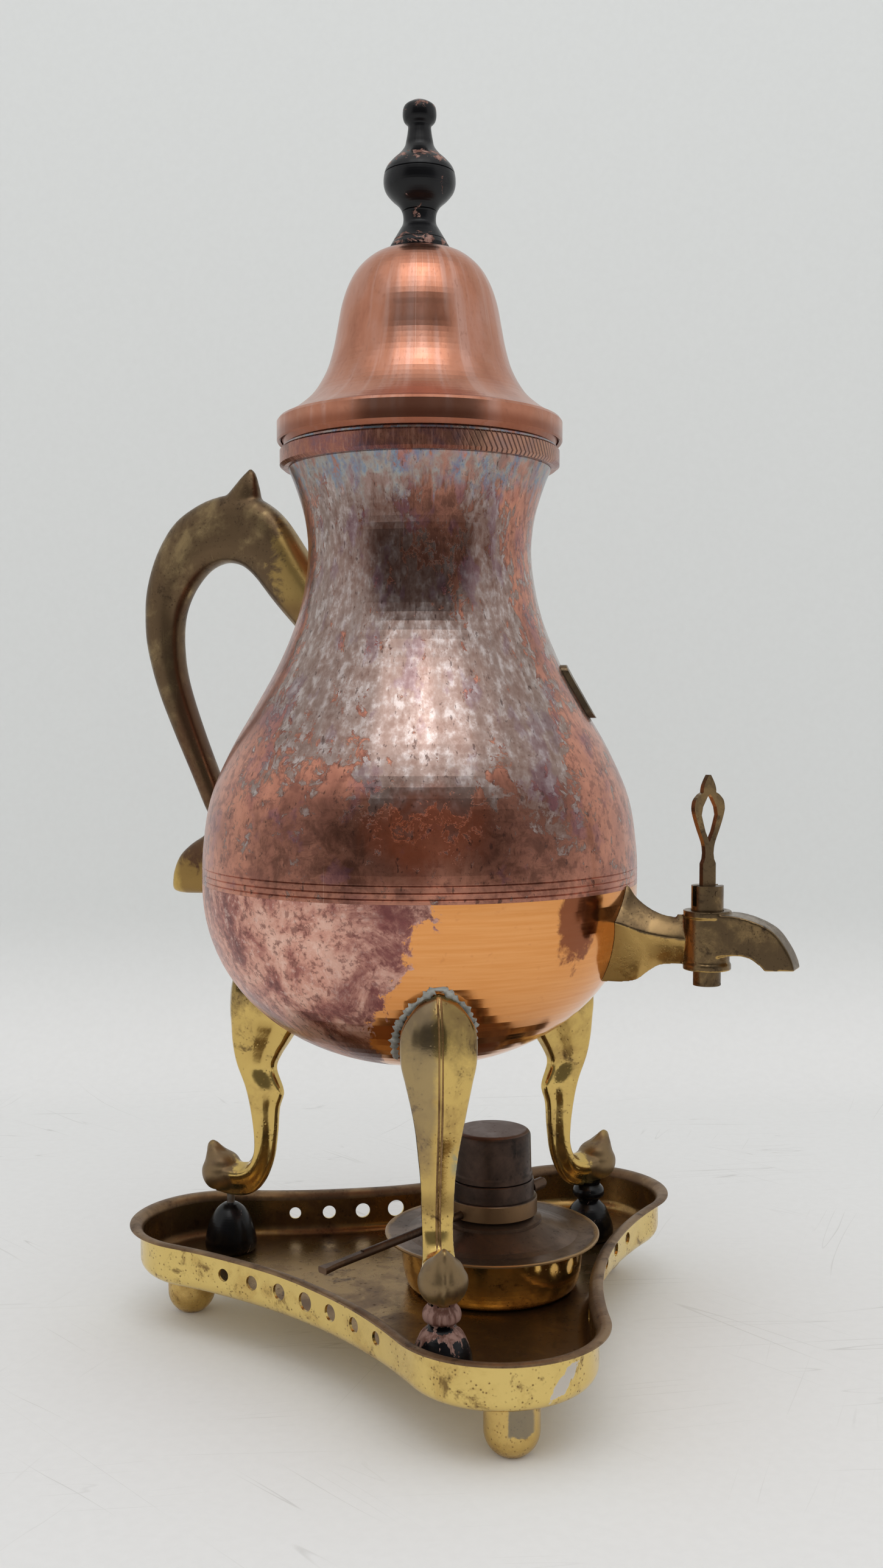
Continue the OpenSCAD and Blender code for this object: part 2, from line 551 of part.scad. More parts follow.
module tray() {
    color("khaki") in_tray() difference() {
        tray_shell();
        for (k = [0:2], i = [0:6]) rotate([0, 0, 120*k + 60]) translate([waist_c, 0, 0])
            rotate([0, 0, 180 + (i - 3)*hole_step/(waist_r + flange)*180/PI])
                translate([waist_r + flange/2, 0, ball_h + 0.537*(rim_z - ball_h)])
                    rotate([0, 90, 0]) cylinder(d = hole_sizes[i]*hole_d, h = 1.5*flange, $fn = 32);
    }
}
module in_tray() { translate([tray_x, tray_y, 0]) rotate([0, 0, tray_turn - 60]) children(); }
module ball_foot(k) {
    low = asin(0.9);
    side = arc([0, 0.9*ball_r], ball_r, 4 - low, 0, 8);
    color("gold") in_tray() translate(at(lobe_circle + 0.39*lobe_r, 120*k)) rotate_extrude()
        polygon(concat([[0, 0], [ball_r*cos(low), 0]], side, [[ball_r, ball_h], [0, ball_h]]));
}

// Burner, with radii as shares of its plate's
module at_burner() { translate([burner_x, burner_y, 0]) children(); }
module burner_reservoir() {
    side = share(concat([[0, 0], [0.67, 0]], smooth([[0.72, 0], [0.778, 0.06], [0.812, 0.2],
        [0.836, 0.45], [0.846, 0.72], [0.848, 0.918]], 3)), [0, floor_z], plate_r, reservoir_h);
    color("gold") at_burner() difference() {
        rotate_extrude() polygon(concat(side, [[0.856*plate_r, plate_z - sheet],
            [0.897*plate_r, plate_z - sheet], [0.897*plate_r, plate_z], [0.82*plate_r, plate_z]],
            back(beside(side, sheet))));
        translate([0, 0, plate_z - 0.6*sheet]) cylinder(r = 0.82*plate_r, h = 2);
    }
}
module burner_plate() {
    t = plate_t;
    color("saddlebrown") at_burner() translate([0, 0, plate_z]) rotate_extrude()
        polygon([[tube_r + 2*fit, plate_rise], [1.45*tube_r, plate_rise], [0.72*plate_r, 0.16*plate_rise],
            [0.8*plate_r, 0], [plate_r - 1.6*t, 0], [plate_r, 0.5*t], [plate_r, t], [plate_r - 0.5*t, 1.3*t],
            [plate_r - 2*t, t], [0.8*plate_r, t], [0.72*plate_r, 0.16*plate_rise + t],
            [1.45*tube_r, plate_rise + t], [tube_r + 2*fit, plate_rise + t]]);
}
module burner_neck() {
    z = plate_z + plate_rise + plate_t;
    rise = sleeve_z - z + plate_t;
    in = tube_r - tube_t;
    color("saddlebrown") at_burner() rotate_extrude() polygon([[in, z - 4.4*plate_t],
        [tube_r, z - 4.4*plate_t], [tube_r, z], [1.44*tube_r, z],
        [1.44*tube_r, z + 0.3*rise], [1.3*tube_r, z + 0.45*rise],
        [1.08*tube_r, sleeve_z], [tube_r, sleeve_z],
        [tube_r, cap_z + 2*tube_t], [in, cap_z + 2*tube_t]]);
}
module wick_tube() {
    r = wick_r + wick_wall;
    z = floor_z + 0.46*reservoir_h;
    color("peru") at_burner() difference() {
        union() {
            translate([0, 0, z]) cylinder(r = r, h = cap_z + cap_h/3 - z);
            translate([0, 0, cap_z - 2*wick_wall]) cylinder(r = tube_r - tube_t - fit, h = wick_wall);
        }
        translate([0, 0, floor_z]) cylinder(r = wick_r, h = cap_z);
        for (a = [0:60:300]) rotate([0, 0, a]) translate([r + 0.9*wick_wall, 0, cap_z - 3*wick_wall])
            cylinder(d = 1.2*wick_wall, h = 3*wick_wall, $fn = 24);
    }
}
module wick() {
    z = floor_z + 0.1*reservoir_h;
    color("ivory") at_burner() translate([0, 0, z]) cylinder(r = wick_r - 2*fit, h = cap_z + cap_h/3 - z);
}
module regulator_sleeve() {
    h = sleeve_h;
    edge = sleeve_r - 0.3;
    upper = sleeve_r - 1.2;
    color("saddlebrown") at_burner() difference() {
        translate([0, 0, sleeve_z + fit]) rotate_extrude() polygon([[tube_r + fit, 0], [edge, 0],
            [sleeve_r, 0.02*h], [sleeve_r, 0.46*h], [edge, 0.49*h], [upper, 0.51*h], [upper, 0.98*h],
            [upper - 0.3, h], [tube_r + fit, h]]);
        rotate([0, 0, lever_az]) translate([0, 0, lever_z]) rotate([0, 90 + lever_tilt, 0])
            translate([0, 0, -1.5*sleeve_r]) cylinder(d = rod_d + 2*fit, h = 3*sleeve_r, $fn = 32);
        translate([0, 0, sleeve_z - 1]) cylinder(r = tube_r + fit, h = sleeve_h + 4);
    }
}
module lever_axis() {
    at_burner() rotate([0, 0, lever_az]) translate([0, 0, lever_z]) rotate([0, 90 + lever_tilt, 0])
        children();
}
module regulator_lever() {
    tip = 2*rod_d;
    color("dimgray") lever_axis() difference() {
        union() {
            translate([0, 0, rod_x]) cylinder(d = rod_d, h = lever_l - rod_x - tip);
            translate([0, 0, lever_l - tip]) cylinder(d1 = rod_d, d2 = 1.4*rod_d, h = tip);
        }
        for (s = [-1, 1]) translate([(1.2*s - 0.83)*rod_d, -2*rod_d, lever_l - 6*rod_d])
            cube([1.67*rod_d, 4*rod_d, 7*rod_d]);
    }
}
module regulator_stub() {
    color("dimgray") lever_axis() translate([0, 0, -rod_x]) mirror([0, 0, 1]) {
        cylinder(d = rod_d, h = 5*rod_d);
        translate([0, 0, 2.7*rod_d]) cylinder(d = knob_d, h = 2*rod_d);
        translate([0, 0, 4.7*rod_d]) cylinder(d1 = knob_d, d2 = rod_d, h = 0.4*rod_d);
    }
}
module sleeve_stud() {
    color("gold") at_burner() rotate([0, 0, lever_az - 45]) translate([sleeve_r - 1.195, 0,
        sleeve_z + 0.86*sleeve_h]) rotate([0, 90, 0]) cylinder(d1 = 2.4, d2 = 1.6, h = 0.9, $fn = 24);
}
module snuffer_cap() {
    t = 2.2;
    in = tube_r + 6*fit;
    hollow = tube_r - 0.7*tube_t;
    color("saddlebrown") at_burner() translate([0, 0, cap_z]) rotate_extrude()
        polygon(concat([[in, 0], [cap_r, 0], [cap_r, 0.1*cap_h], [cap_r - 0.4, 0.14*cap_h]],
            arc([cap_r - 0.7 - t, cap_h - t], t, 0, 90, 6), [[0, cap_h], [0, cap_h - 0.7*t],
            [hollow, cap_h - 0.7*t], [hollow, 2*tube_t], [in, 2*tube_t]]));
}

translate(place) tray();
translate(place) ball_foot(0);  // ball_foot_front
translate(place) ball_foot(1);  // ball_foot_right
translate(place) ball_foot(2);  // ball_foot_left
translate(place) body_upper();
translate(place) body_lower();
translate(place) neck_band();
translate(place) plaque();
translate(place) handle();
translate(place) leg(leg_turns[0]);  // leg_front
translate(place) leg(leg_turns[1]);  // leg_right
translate(place) leg(leg_turns[2]);  // leg_left
translate(place) wood_foot(leg_turns[0]);  // wood_foot_front
translate(place) wood_foot(leg_turns[1]);  // wood_foot_right
translate(place) wood_foot(leg_turns[2], false);  // wood_foot_left
translate(place) foot_pin(leg_turns[0]);  // foot_pin_front
translate(place) foot_pin(leg_turns[1]);  // foot_pin_right
translate(place) foot_pin(leg_turns[2]);  // foot_pin_left
translate(place) tap_body();
translate(place) tap_plug();
translate(place) tap_key();
translate(place) tap_rivet();
translate(place) tap_nut();
translate(place) lid_dome();
translate(place) lid_collar();
translate(place) finial();
translate(place) finial_screw();
translate(place) finial_washer();
translate(place) burner_reservoir();
translate(place) burner_plate();
translate(place) burner_neck();
translate(place) wick_tube();
translate(place) wick();
translate(place) regulator_sleeve();
translate(place) regulator_lever();
translate(place) regulator_stub();
translate(place) sleeve_stud();
translate(place) snuffer_cap();
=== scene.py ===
import math
from functools import reduce
import bmesh
import bpy
from mathutils import Matrix, Vector


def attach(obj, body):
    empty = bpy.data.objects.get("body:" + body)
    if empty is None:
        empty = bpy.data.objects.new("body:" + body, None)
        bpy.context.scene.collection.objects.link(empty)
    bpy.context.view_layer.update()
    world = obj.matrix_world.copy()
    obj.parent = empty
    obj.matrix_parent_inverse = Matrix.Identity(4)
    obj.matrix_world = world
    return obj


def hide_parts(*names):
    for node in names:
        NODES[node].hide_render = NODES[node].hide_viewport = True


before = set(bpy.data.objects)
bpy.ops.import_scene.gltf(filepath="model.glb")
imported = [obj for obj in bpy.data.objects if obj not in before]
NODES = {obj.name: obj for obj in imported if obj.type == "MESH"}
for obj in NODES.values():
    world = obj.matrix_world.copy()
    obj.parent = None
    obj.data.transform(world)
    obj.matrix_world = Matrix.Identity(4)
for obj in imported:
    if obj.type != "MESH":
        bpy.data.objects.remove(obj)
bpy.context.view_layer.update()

MM = 0.001
# Axes of the urn, the burner and the tray, and the direction from the urn to the camera, seen from above
URN = Vector((-10, -8.706, 0)) * MM
BURNER = Vector((15, 0.294, 0)) * MM
TRAY = Vector((-5.5, -6.706, 0)) * MM
FRONT = math.radians(-64.8)


class Look:
    """Shader nodes under construction. A material's coordinates are the object's at rest, in metres."""

    def __init__(self, owner, space="Object"):
        self.owner = owner
        owner.use_nodes = True
        self.tree = owner.node_tree
        self.tree.nodes.clear()
        self.place = self.node("TexCoord").outputs[space]

    def node(self, kind, values=(), **settings):
        made = self.tree.nodes.new("ShaderNode" + kind)
        for key, value in settings.items():
            setattr(made, key, value)
        for key, value in dict(values).items():
            self.feed(made.inputs[key], value)
        return made

    def feed(self, socket, value):
        if isinstance(value, bpy.types.NodeSocket):
            self.tree.links.new(value, socket)
        else:
            socket.default_value = value

    def math(self, operation, a, b=0):
        return self.node("Math", {0: a, 1: b}, operation=operation).outputs[0]

    def add(self, a, b):
        return self.math("ADD", a, b)

    def times(self, a, b):
        return self.math("MULTIPLY", a, b)

    def total(self, *terms):
        """The sum of values, each times its share."""
        return reduce(lambda a, b: self.add(b, a), [self.times(*term) for term in reversed(terms)])

    def length(self, a, b):
        return self.math("SQRT", self.total((a, a), (b, b)))

    def along(self, x, y, angle):
        """How far a direction points towards an angle, seen from above."""
        return self.total((x, math.cos(angle)), (y, math.sin(angle)))

    def both(self, *masks):
        return reduce(self.times, masks)

    def either(self, *masks):
        return reduce(lambda a, b: self.math("MAXIMUM", a, b), masks)

    def step(self, value, low, high, start=0, end=1):
        """Smooth change from start to end while value goes from low to high."""
        values = {"Value": value, "From Min": low, "From Max": high, "To Min": start, "To Max": end}
        return self.node("MapRange", values, interpolation_type="SMOOTHSTEP").outputs[0]

    def within(self, value, low, high, over, end):
        """1 between two soft edges, from low to high and from end back to over."""
        return self.both(self.step(value, low, high), self.step(value, end, over))

    def scaled(self, vector, factors):
        return self.node("VectorMath", {0: vector, 1: factors}, operation="MULTIPLY").outputs[0]

    def moved(self, vector, offset):
        return self.node("VectorMath", {0: vector, 1: offset}, operation="ADD").outputs[0]

    def noise(self, vector, scale, detail=4, roughness=0.5, distortion=0):
        values = {"Vector": vector, "Scale": scale, "Detail": detail, "Roughness": roughness,
                  "Distortion": distortion}
        return self.node("TexNoise", values).outputs["Fac"]

    def cells(self, vector, scale):
        return self.node("TexVoronoi", {"Vector": vector, "Scale": scale}).outputs["Distance"]

    def mix(self, factor, a, b):
        made = self.node("Mix", data_type="RGBA")
        self.feed(made.inputs[0], factor)
        self.feed(made.inputs[6], a)
        self.feed(made.inputs[7], b)
        return made.outputs[2]

    def paint(self, colour, mask, share, *tone):
        """The colour, and on it a share of a tone where the mask is 1."""
        return self.mix(self.times(mask, share), colour, rgb(*tone))

    def speckled(self, colour, noise, low, high, share, *tone):
        """The colour, and on it a share of a tone where the noise is high."""
        return self.mix(self.step(noise, low, high, 0, share), colour, rgb(*tone))

    def blend(self, factor, a, b):
        return self.node("Mix", {0: factor, 2: a, 3: b}, data_type="FLOAT").outputs[0]

    def ramp(self, factor, *stops):
        """A colour from a factor, by stops of position, red, green and blue."""
        made = self.node("ValToRGB", {"Fac": factor})
        elements = made.color_ramp.elements
        while len(elements) < len(stops):
            elements.new(0.5)
        for element, (position, *tone) in zip(elements, stops):
            element.position = position
            element.color = rgb(*tone)
        return made.outputs[0]

    def split(self, vector):
        return self.node("SeparateXYZ", {0: vector}).outputs

    def joined(self, x, y, z):
        return self.node("CombineXYZ", {0: x, 1: y, 2: z}).outputs[0]

    def turned(self, centre):
        """Directions round an upright axis through centre: unit x and y, radius, and height."""
        x, y, z = self.split(self.moved(self.place, (-centre.x, -centre.y, 0)))
        radius = self.math("MAXIMUM", self.length(x, y), 1e-5)
        return self.math("DIVIDE", x, radius), self.math("DIVIDE", y, radius), radius, z

    def wrapped(self, turn, round_scale, up_scale):
        """Texture coordinates that run round the axis and up, with no seam."""
        x, y, _, z = turn
        return self.joined(self.times(x, round_scale), self.times(y, round_scale),
                           self.times(z, up_scale))

    def grain(self, turn, round_scale, up_scale, *settings):
        return self.noise(self.wrapped(turn, round_scale, up_scale), *settings)

    def patch(self, turn, angle, height, half_angle, half_height, ragged, soft=0.45):
        """1 inside an oval at a viewer's angle and height, with its edge moved by a noise."""
        x, y, _, z = turn
        dot = self.along(x, y, FRONT + math.radians(angle))
        away = self.math("DIVIDE", self.math("ARCCOSINE", self.math("MINIMUM", dot, 1)),
                         math.radians(half_angle))
        up = self.math("DIVIDE", self.math("SUBTRACT", z, height * MM), half_height * MM)
        return self.step(self.add(self.length(away, up), ragged), 1 - soft, 1 + soft, 1, 0)

    def patches(self, turn, ragged, *ovals):
        return self.either(*[self.patch(turn, *oval, ragged) for oval in ovals])

    def surface(self, colour, roughness, height=None, bump=0.5, distance=0.0002, **fixed):
        values = {"Base Color": colour, "Roughness": roughness}
        values.update({key.replace("_", " "): value for key, value in fixed.items()})
        shader = self.node("BsdfPrincipled", values)
        if height is not None:
            self.feed(shader.inputs["Normal"], self.node("Bump", {
                "Strength": bump, "Distance": distance, "Height": height}).outputs[0])
        return self.given(shader.outputs[0], "OutputMaterial")

    def given(self, shader, output):
        self.node(output, {0: shader})
        return self.owner


def rgb(red, green, blue):
    """A linear colour from its 0 to 255 values on the screen."""
    def linear(value):
        value /= 255
        return value / 12.92 if value <= 0.04045 else ((value + 0.055) / 1.055) ** 2.4
    return (linear(red), linear(green), linear(blue), 1)


def new_look(name):
    """A look for a new material."""
    return Look(bpy.data.materials.new(name))


def centred(look, noise, amount):
    """The noise about nought instead of a half, times an amount."""
    return look.times(look.math("SUBTRACT", noise, 0.5), amount)


def patina_copper():
    look = new_look("patina_copper")
    turn = look.turned(URN)
    z = turn[3]
    skin = look.wrapped(turn, 4.6, 62)
    drips = look.grain(turn, 8.5, 30, 1.5, 5, 0.62, 0.5)
    flakes = look.noise(skin, 2.5, 9, 0.72, 0.45)
    blotch = look.noise(look.moved(skin, (4, 1, 7)), 0.5, 5, 0.6)
    fine = look.noise(look.moved(skin, (1, 9, 2)), 4.2, 7, 0.62)
    specks = look.grain(turn, 17, 130, 2.4, 5, 0.66)
    hair = look.grain(turn, 150, 5, 1, 2, 0.5)
    slant = look.noise(look.moved(look.wrapped(turn, 40, 60), (3.1, 1.7, 0)), 1, 3, 0.5, 2)
    ragged = centred(look, drips, 1.1)
    # Bare copper, from rose to brown, with the grain of dull spots in it
    copper = look.ramp(blotch, (0.3, 146, 90, 76), (0.45, 190, 126, 104), (0.56, 214, 146, 120),
                       (0.7, 168, 106, 98))
    copper = look.speckled(copper, fine, 0.48, 0.64, 0.6, 124, 76, 66)
    # A grey, slightly blue lacquer that comes off in flakes, most of it on the shoulder
    film = look.ramp(fine, (0.36, 128, 110, 102), (0.5, 158, 143, 136), (0.64, 206, 196, 192))
    film = look.speckled(film, drips, 0.5, 0.64, 0.6, 140, 124, 116)
    amount = look.patches(turn, ragged, (-34, 276, 30, 62), (2, 240, 25, 46), (33, 255, 17, 58),
                          (150, 262, 80, 60))
    cut = look.total((amount, 0.17), (flakes, 0.66), (drips, 0.24), (blotch, 0.1))
    grey = look.step(cut, 0.575, 0.592)
    colour = look.mix(look.times(grey, 0.86), copper, film)
    edge = look.both(look.step(cut, 0.548, 0.566), look.step(cut, 0.585, 0.6, 1, 0))
    colour = look.paint(colour, edge, 0.4, 92, 62, 54)
    # Painted dark reflection of the room in front, below the neck and above the seam, darker tarnish on
    # the back, and blue and green under the band
    dark = look.patches(turn, ragged, (3, 290, 40, 23), (-23, 187, 25, 17), (27, 190, 20, 20),
                        (-150, 230, 50, 50))
    colour = look.paint(colour, dark, look.step(flakes, 0.36, 0.62, 0.95, 0.5), 98, 60, 46)
    ember = look.patch(turn, 2, 194, 13, 12, ragged)
    colour = look.paint(colour, ember, 0.6, 190, 98, 62)
    high = look.step(look.add(z, centred(look, drips, 0.03)), 0.303, 0.313)
    tint = look.ramp(look.grain(turn, 4, 60, 1.9, 5, 0.66), (0.38, 150, 120, 112), (0.48, 160, 158, 152),
                     (0.56, 118, 138, 160), (0.64, 166, 112, 92))
    colour = look.mix(look.times(high, look.step(fine, 0.36, 0.6, 0.5, 0.95)), colour, tint)
    violet = look.step(look.grain(turn, 3.4, 40, 1.5, 4, 0.6), 0.54, 0.62)
    colour = look.paint(colour, violet, 0.22, 112, 78, 120)
    colour = look.speckled(colour, specks, 0.61, 0.66, 0.7, 74, 48, 42)
    scratch = look.either(look.step(hair, 0.735, 0.76), look.step(slant, 0.76, 0.775))
    colour = look.paint(colour, scratch, 0.45, 226, 190, 172)
    rough = look.add(look.step(grey, 0, 1, 0.3, 0.21), centred(look, fine, 0.16))
    height = look.total((grey, 0.8), (fine, 0.35), (scratch, -0.4))
    return look.surface(colour, rough, height, 0.32, 0.00012, Metallic=0.93, Coat_Weight=0.3,
                        Coat_Roughness=0.1)


def bowl_copper():
    look = new_look("bowl_copper")
    turn = look.turned(URN)
    x, y, _, z = turn
    brushed = look.grain(turn, 2.5, 1000, 1, 3, 0.6)
    brushed2 = look.grain(turn, 7, 2600, 1, 2, 0.5)
    skin = look.wrapped(turn, 4.6, 62)
    ragged = look.noise(skin, 1.5, 8, 0.68, 0.5)
    stain = look.noise(look.moved(skin, (3, 2, 1)), 0.9, 7, 0.66, 0.7)
    fine = look.noise(look.moved(skin, (1, 9, 2)), 6, 6, 0.7)
    slant = look.noise(look.moved(look.wrapped(turn, 20, -200), (2, 5, 0)), 1, 5, 0.6, 1.6)
    specks = look.grain(turn, 16, 190, 2, 4, 0.6)
    polished = look.mix(look.step(brushed, 0.3, 0.7), rgb(228, 154, 88), rgb(236, 166, 102))
    polished = look.speckled(polished, specks, 0.62, 0.72, 0.22, 186, 108, 66)
    matte = look.ramp(stain, (0.36, 232, 186, 168), (0.47, 216, 160, 142), (0.56, 170, 112, 102),
                      (0.66, 120, 76, 74))
    matte = look.speckled(matte, slant, 0.56, 0.64, 0.55, 122, 74, 68)
    matte = look.speckled(matte, fine, 0.52, 0.62, 0.65, 112, 70, 66)
    matte = look.speckled(matte, fine, 0.46, 0.36, 0.4, 244, 212, 198)
    # The polished side lies to the right of a ragged edge that leans to the left on its way down
    centre = FRONT + math.radians(51)
    lean = look.times(look.math("SUBTRACT", z, 0.17), 6.5)
    away = look.math("ARCCOSINE", look.math("MINIMUM", look.along(x, y, centre), 1))
    side = look.add(look.add(away, lean), centred(look, ragged, 0.62))
    bright = look.step(side, math.radians(48.5), math.radians(50), 1, 0)
    colour = look.mix(bright, matte, polished)
    rim = look.both(look.step(side, math.radians(48), math.radians(52)),
                    look.step(side, math.radians(54), math.radians(72), 1, 0))
    colour = look.paint(colour, rim, look.step(stain, 0.4, 0.52, 0.25, 0.8), 118, 70, 70)
    # Drops of old lacquer below the seam, left of the tap
    drops = look.patch(turn, 42, 163, 7, 15, centred(look, ragged, 1.6), 0.12)
    colour = look.paint(colour, drops, 0.85, 120, 62, 48)
    rough = look.blend(bright, look.step(stain, 0.4, 0.6, 0.36, 0.26),
                       look.step(brushed, 0.3, 0.7, 0.09, 0.16))
    height = look.add(look.total((brushed, 0.4), (brushed2, 0.4)), look.times(fine, 0.3))
    return look.surface(colour, rough, height, 0.05, 0.00003, Metallic=0.97)


def lid_copper():
    look = new_look("lid_copper")
    turn = look.turned(URN)
    rings = look.grain(turn, 2, 1500, 1, 3, 0.6)
    cloud = look.grain(turn, 1.8, 26, 1.6, 5, 0.6)
    fine = look.grain(turn, 22, 300, 1.6, 4, 0.6)
    hair = look.grain(turn, 110, 9, 1, 2, 0.5)
    highlight_streaks = look.grain(turn, 7, 12, 1.3, 3, 0.5)
    colour = look.ramp(cloud, (0.3, 178, 116, 92), (0.5, 196, 134, 108), (0.7, 202, 148, 128))
    # Painted highlights: pale vertical streaks round the lid
    colour = look.speckled(colour, highlight_streaks, 0.5, 0.66, 0.35, 214, 176, 164)
    colour = look.speckled(colour, fine, 0.55, 0.7, 0.3, 146, 92, 74)
    colour = look.speckled(colour, hair, 0.72, 0.76, 0.4, 236, 206, 192)
    crown = look.step(look.add(turn[3], centred(look, cloud, 0.006)), 0.391, 0.402)
    colour = look.paint(colour, crown, 0.6, 146, 94, 72)
    foot = look.step(turn[3], 0.3295, 0.3335, 1, 0)
    colour = look.paint(colour, foot, 0.7, 134, 76, 54)
    rough = look.add(0.17, look.total((rings, 0.05), (fine, 0.05)))
    height = look.add(rings, look.times(fine, 0.4))
    return look.surface(colour, rough, height, 0.04, 0.00002, Metallic=0.97)


def band_copper():
    look = new_look("band_copper")
    turn = look.turned(URN)
    x, y, _, z = turn
    angle = look.math("ARCTAN2", y, x)
    stripes = look.math("SINE", look.total((angle, 150), (z, 1500)))
    cloud = look.grain(turn, 3, 60, 1.6, 5, 0.66)
    fine = look.grain(turn, 40, 160, 1.4, 5, 0.66)
    colour = look.ramp(cloud, (0.32, 118, 78, 66), (0.45, 168, 112, 92), (0.57, 146, 98, 92),
                       (0.7, 120, 100, 112))
    colour = look.speckled(colour, fine, 0.5, 0.66, 0.4, 200, 150, 130)
    cuts = look.step(stripes, 0.2, 0.9)
    ribbed = look.patch(turn, 42, 322, 26, 9, centred(look, cloud, 0.5))
    colour = look.paint(colour, ribbed, 0.35, 206, 168, 140)
    # Painted shade in the grooves of the ribbing
    colour = look.paint(colour, look.both(cuts, ribbed), 0.8, 70, 44, 40)
    height = look.total((fine, 0.4), (look.both(cuts, ribbed), -1))
    return look.surface(colour, look.step(fine, 0.3, 0.7, 0.2, 0.36), height, 0.5, 0.0002, Metallic=0.95)


def aged_metal(name, bright, middle, dark, size, cover, pits, rough, extra=None, metallic=0.95):
    """Cast or sheet metal whose shine shows through a cover of tarnish, with pits and fine scratches."""
    bright, middle, dark = rgb(*bright), rgb(*middle), rgb(*dark)
    look = new_look(name)
    cloud = look.noise(look.place, 38 / size, 6, 0.62, 0.5)
    patches = look.noise(look.moved(look.place, (0.3, 0.1, 0.2)), 110 / size, 7, 0.7, 0.4)
    grain = look.noise(look.place, 900 / size, 3, 0.6)
    spots = look.cells(look.place, 620 / size)
    scratch = look.noise(look.scaled(look.place, (1400, 300, 60)), 1, 2, 0.5)
    worn = look.step(look.total((cloud, 0.6), (patches, 0.4)), cover - 0.09, cover + 0.09)
    colour = look.mix(worn, bright, middle)
    colour = look.mix(look.step(patches, 0.57, 0.69, 0, 0.8), colour, dark)
    pit = look.both(look.step(spots, 0.05, 0.32, 1, 0), look.step(patches, 0.45, 0.55))
    colour = look.mix(look.times(pit, pits), colour, dark)
    colour = look.mix(look.step(scratch, 0.68, 0.74, 0, 0.25), colour, bright)
    gloss = look.add(look.step(worn, 0, 1, rough[0], rough[1]), look.times(pit, 0.2))
    height = look.total((grain, 0.35), (patches, 0.5), (pit, -0.8))
    if extra:
        colour, gloss = extra(look, colour, gloss, patches)
    return look.surface(colour, gloss, height, 0.3, 0.00015, Metallic=metallic)


def leg_tarnish_and_painted_light(look, colour, gloss, patches):
    """Tarnish on the buds and at the tops, and on the front leg painted light on its left facet, and
    stains.
    """
    x, y, radius, z = look.turned(URN)
    uneven = centred(look, patches, 0.02)
    bud = look.both(look.step(look.add(radius, uneven), 0.0765, 0.079),
                    look.step(look.add(z, uneven), 0.066, 0.062))
    colour = look.paint(colour, bud, look.step(z, 0.045, 0.05, 0.4, 0.85), 116, 96, 78)
    gloss = look.blend(bud, gloss, 0.42)
    high = look.step(look.add(z, look.times(uneven, 2)), 0.112, 0.13)
    colour = look.paint(colour, high, 0.62, 88, 70, 54)
    across = look.times(look.total((x, 0.866), (y, 0.5)), radius)
    front = look.step(look.along(x, y, math.radians(-60)), 0.9, 0.93)
    # Painted light: the front leg's left facet is greyer, as lit from the left
    left = look.both(front, look.step(look.add(across, look.times(uneven, 0.4)), -0.0005, -0.0035))
    left = look.both(left, look.step(look.add(z, look.times(uneven, 2)), 0.064, 0.1))
    colour = look.paint(colour, left, 0.6, 122, 108, 96)
    # A spot of verdigris on its right edge
    spot = look.both(front, look.step(across, 0.003, 0.0055), look.step(z, 0.079, 0.083),
                     look.step(z, 0.092, 0.088))
    spot = look.both(spot, look.step(patches, 0.42, 0.5))
    colour = look.paint(colour, spot, 0.7, 150, 158, 138)
    low = look.both(front, look.step(z, 0.0655, 0.069), look.step(z, 0.077, 0.071))
    return look.paint(colour, low, 0.45, 92, 66, 40), gloss


def tap_painted_reflection(look, colour, gloss, patches):
    """Brown on what faces up, and a painted reflection in a brighter yellow on the undersides."""
    up = look.split(look.node("NewGeometry").outputs["Normal"])[2]
    # Painted reflection: brighter yellow where the faces look down
    under = look.step(look.add(up, centred(look, patches, 0.5)), -0.12, -0.3)
    return look.paint(colour, under, 0.7, 206, 168, 98), gloss


def handle_painted_light(look, colour, gloss, patches):
    """Painted reflections in bright brass at the root by the neck and on the tail, and painted shade in
    the crook below the top.
    """
    radius, z = look.turned(URN)[2:]
    uneven = centred(look, patches, 0.03)
    # Painted reflections in bright brass at the root and on the tail
    root = look.both(look.step(look.add(radius, uneven), 0.058, 0.053), look.step(z, 0.25, 0.255))
    tail = look.both(look.step(look.add(z, uneven), 0.176, 0.17), look.step(radius, 0.08, 0.085))
    colour = look.mix(look.either(look.times(root, 0.45), look.times(tail, 0.85)), colour,
                      rgb(206, 172, 96))
    # Painted shade on the inner side of the crook
    inner = look.both(look.step(look.add(radius, look.times(uneven, 0.3)), 0.104, 0.1),
                      look.step(z, 0.276, 0.268))
    return look.paint(colour, inner, 0.55, 92, 58, 42), gloss


def foot_patch(look, colour, gloss, patches):
    """A square of grey solder left on the front ball foot."""
    x, y, z = look.split(look.moved(look.place, (-0.0559, 0.0818, 0)))
    across = look.total((x, 0.9105), (y, 0.4134))
    toward = look.total((x, 0.413), (y, -0.91))
    uneven = centred(look, patches, 0.004)
    wide = look.add(across, look.times(uneven, 0.5))
    spot = look.both(look.step(wide, -0.0018, -0.001), look.step(wide, 0.0072, 0.006),
                     look.step(look.add(z, look.times(uneven, 1.6)), 0.0085, 0.0095),
                     look.step(toward, 0, 0.001))
    colour = look.paint(colour, spot, 0.85, 146, 138, 124)
    return colour, look.blend(spot, gloss, 0.55)


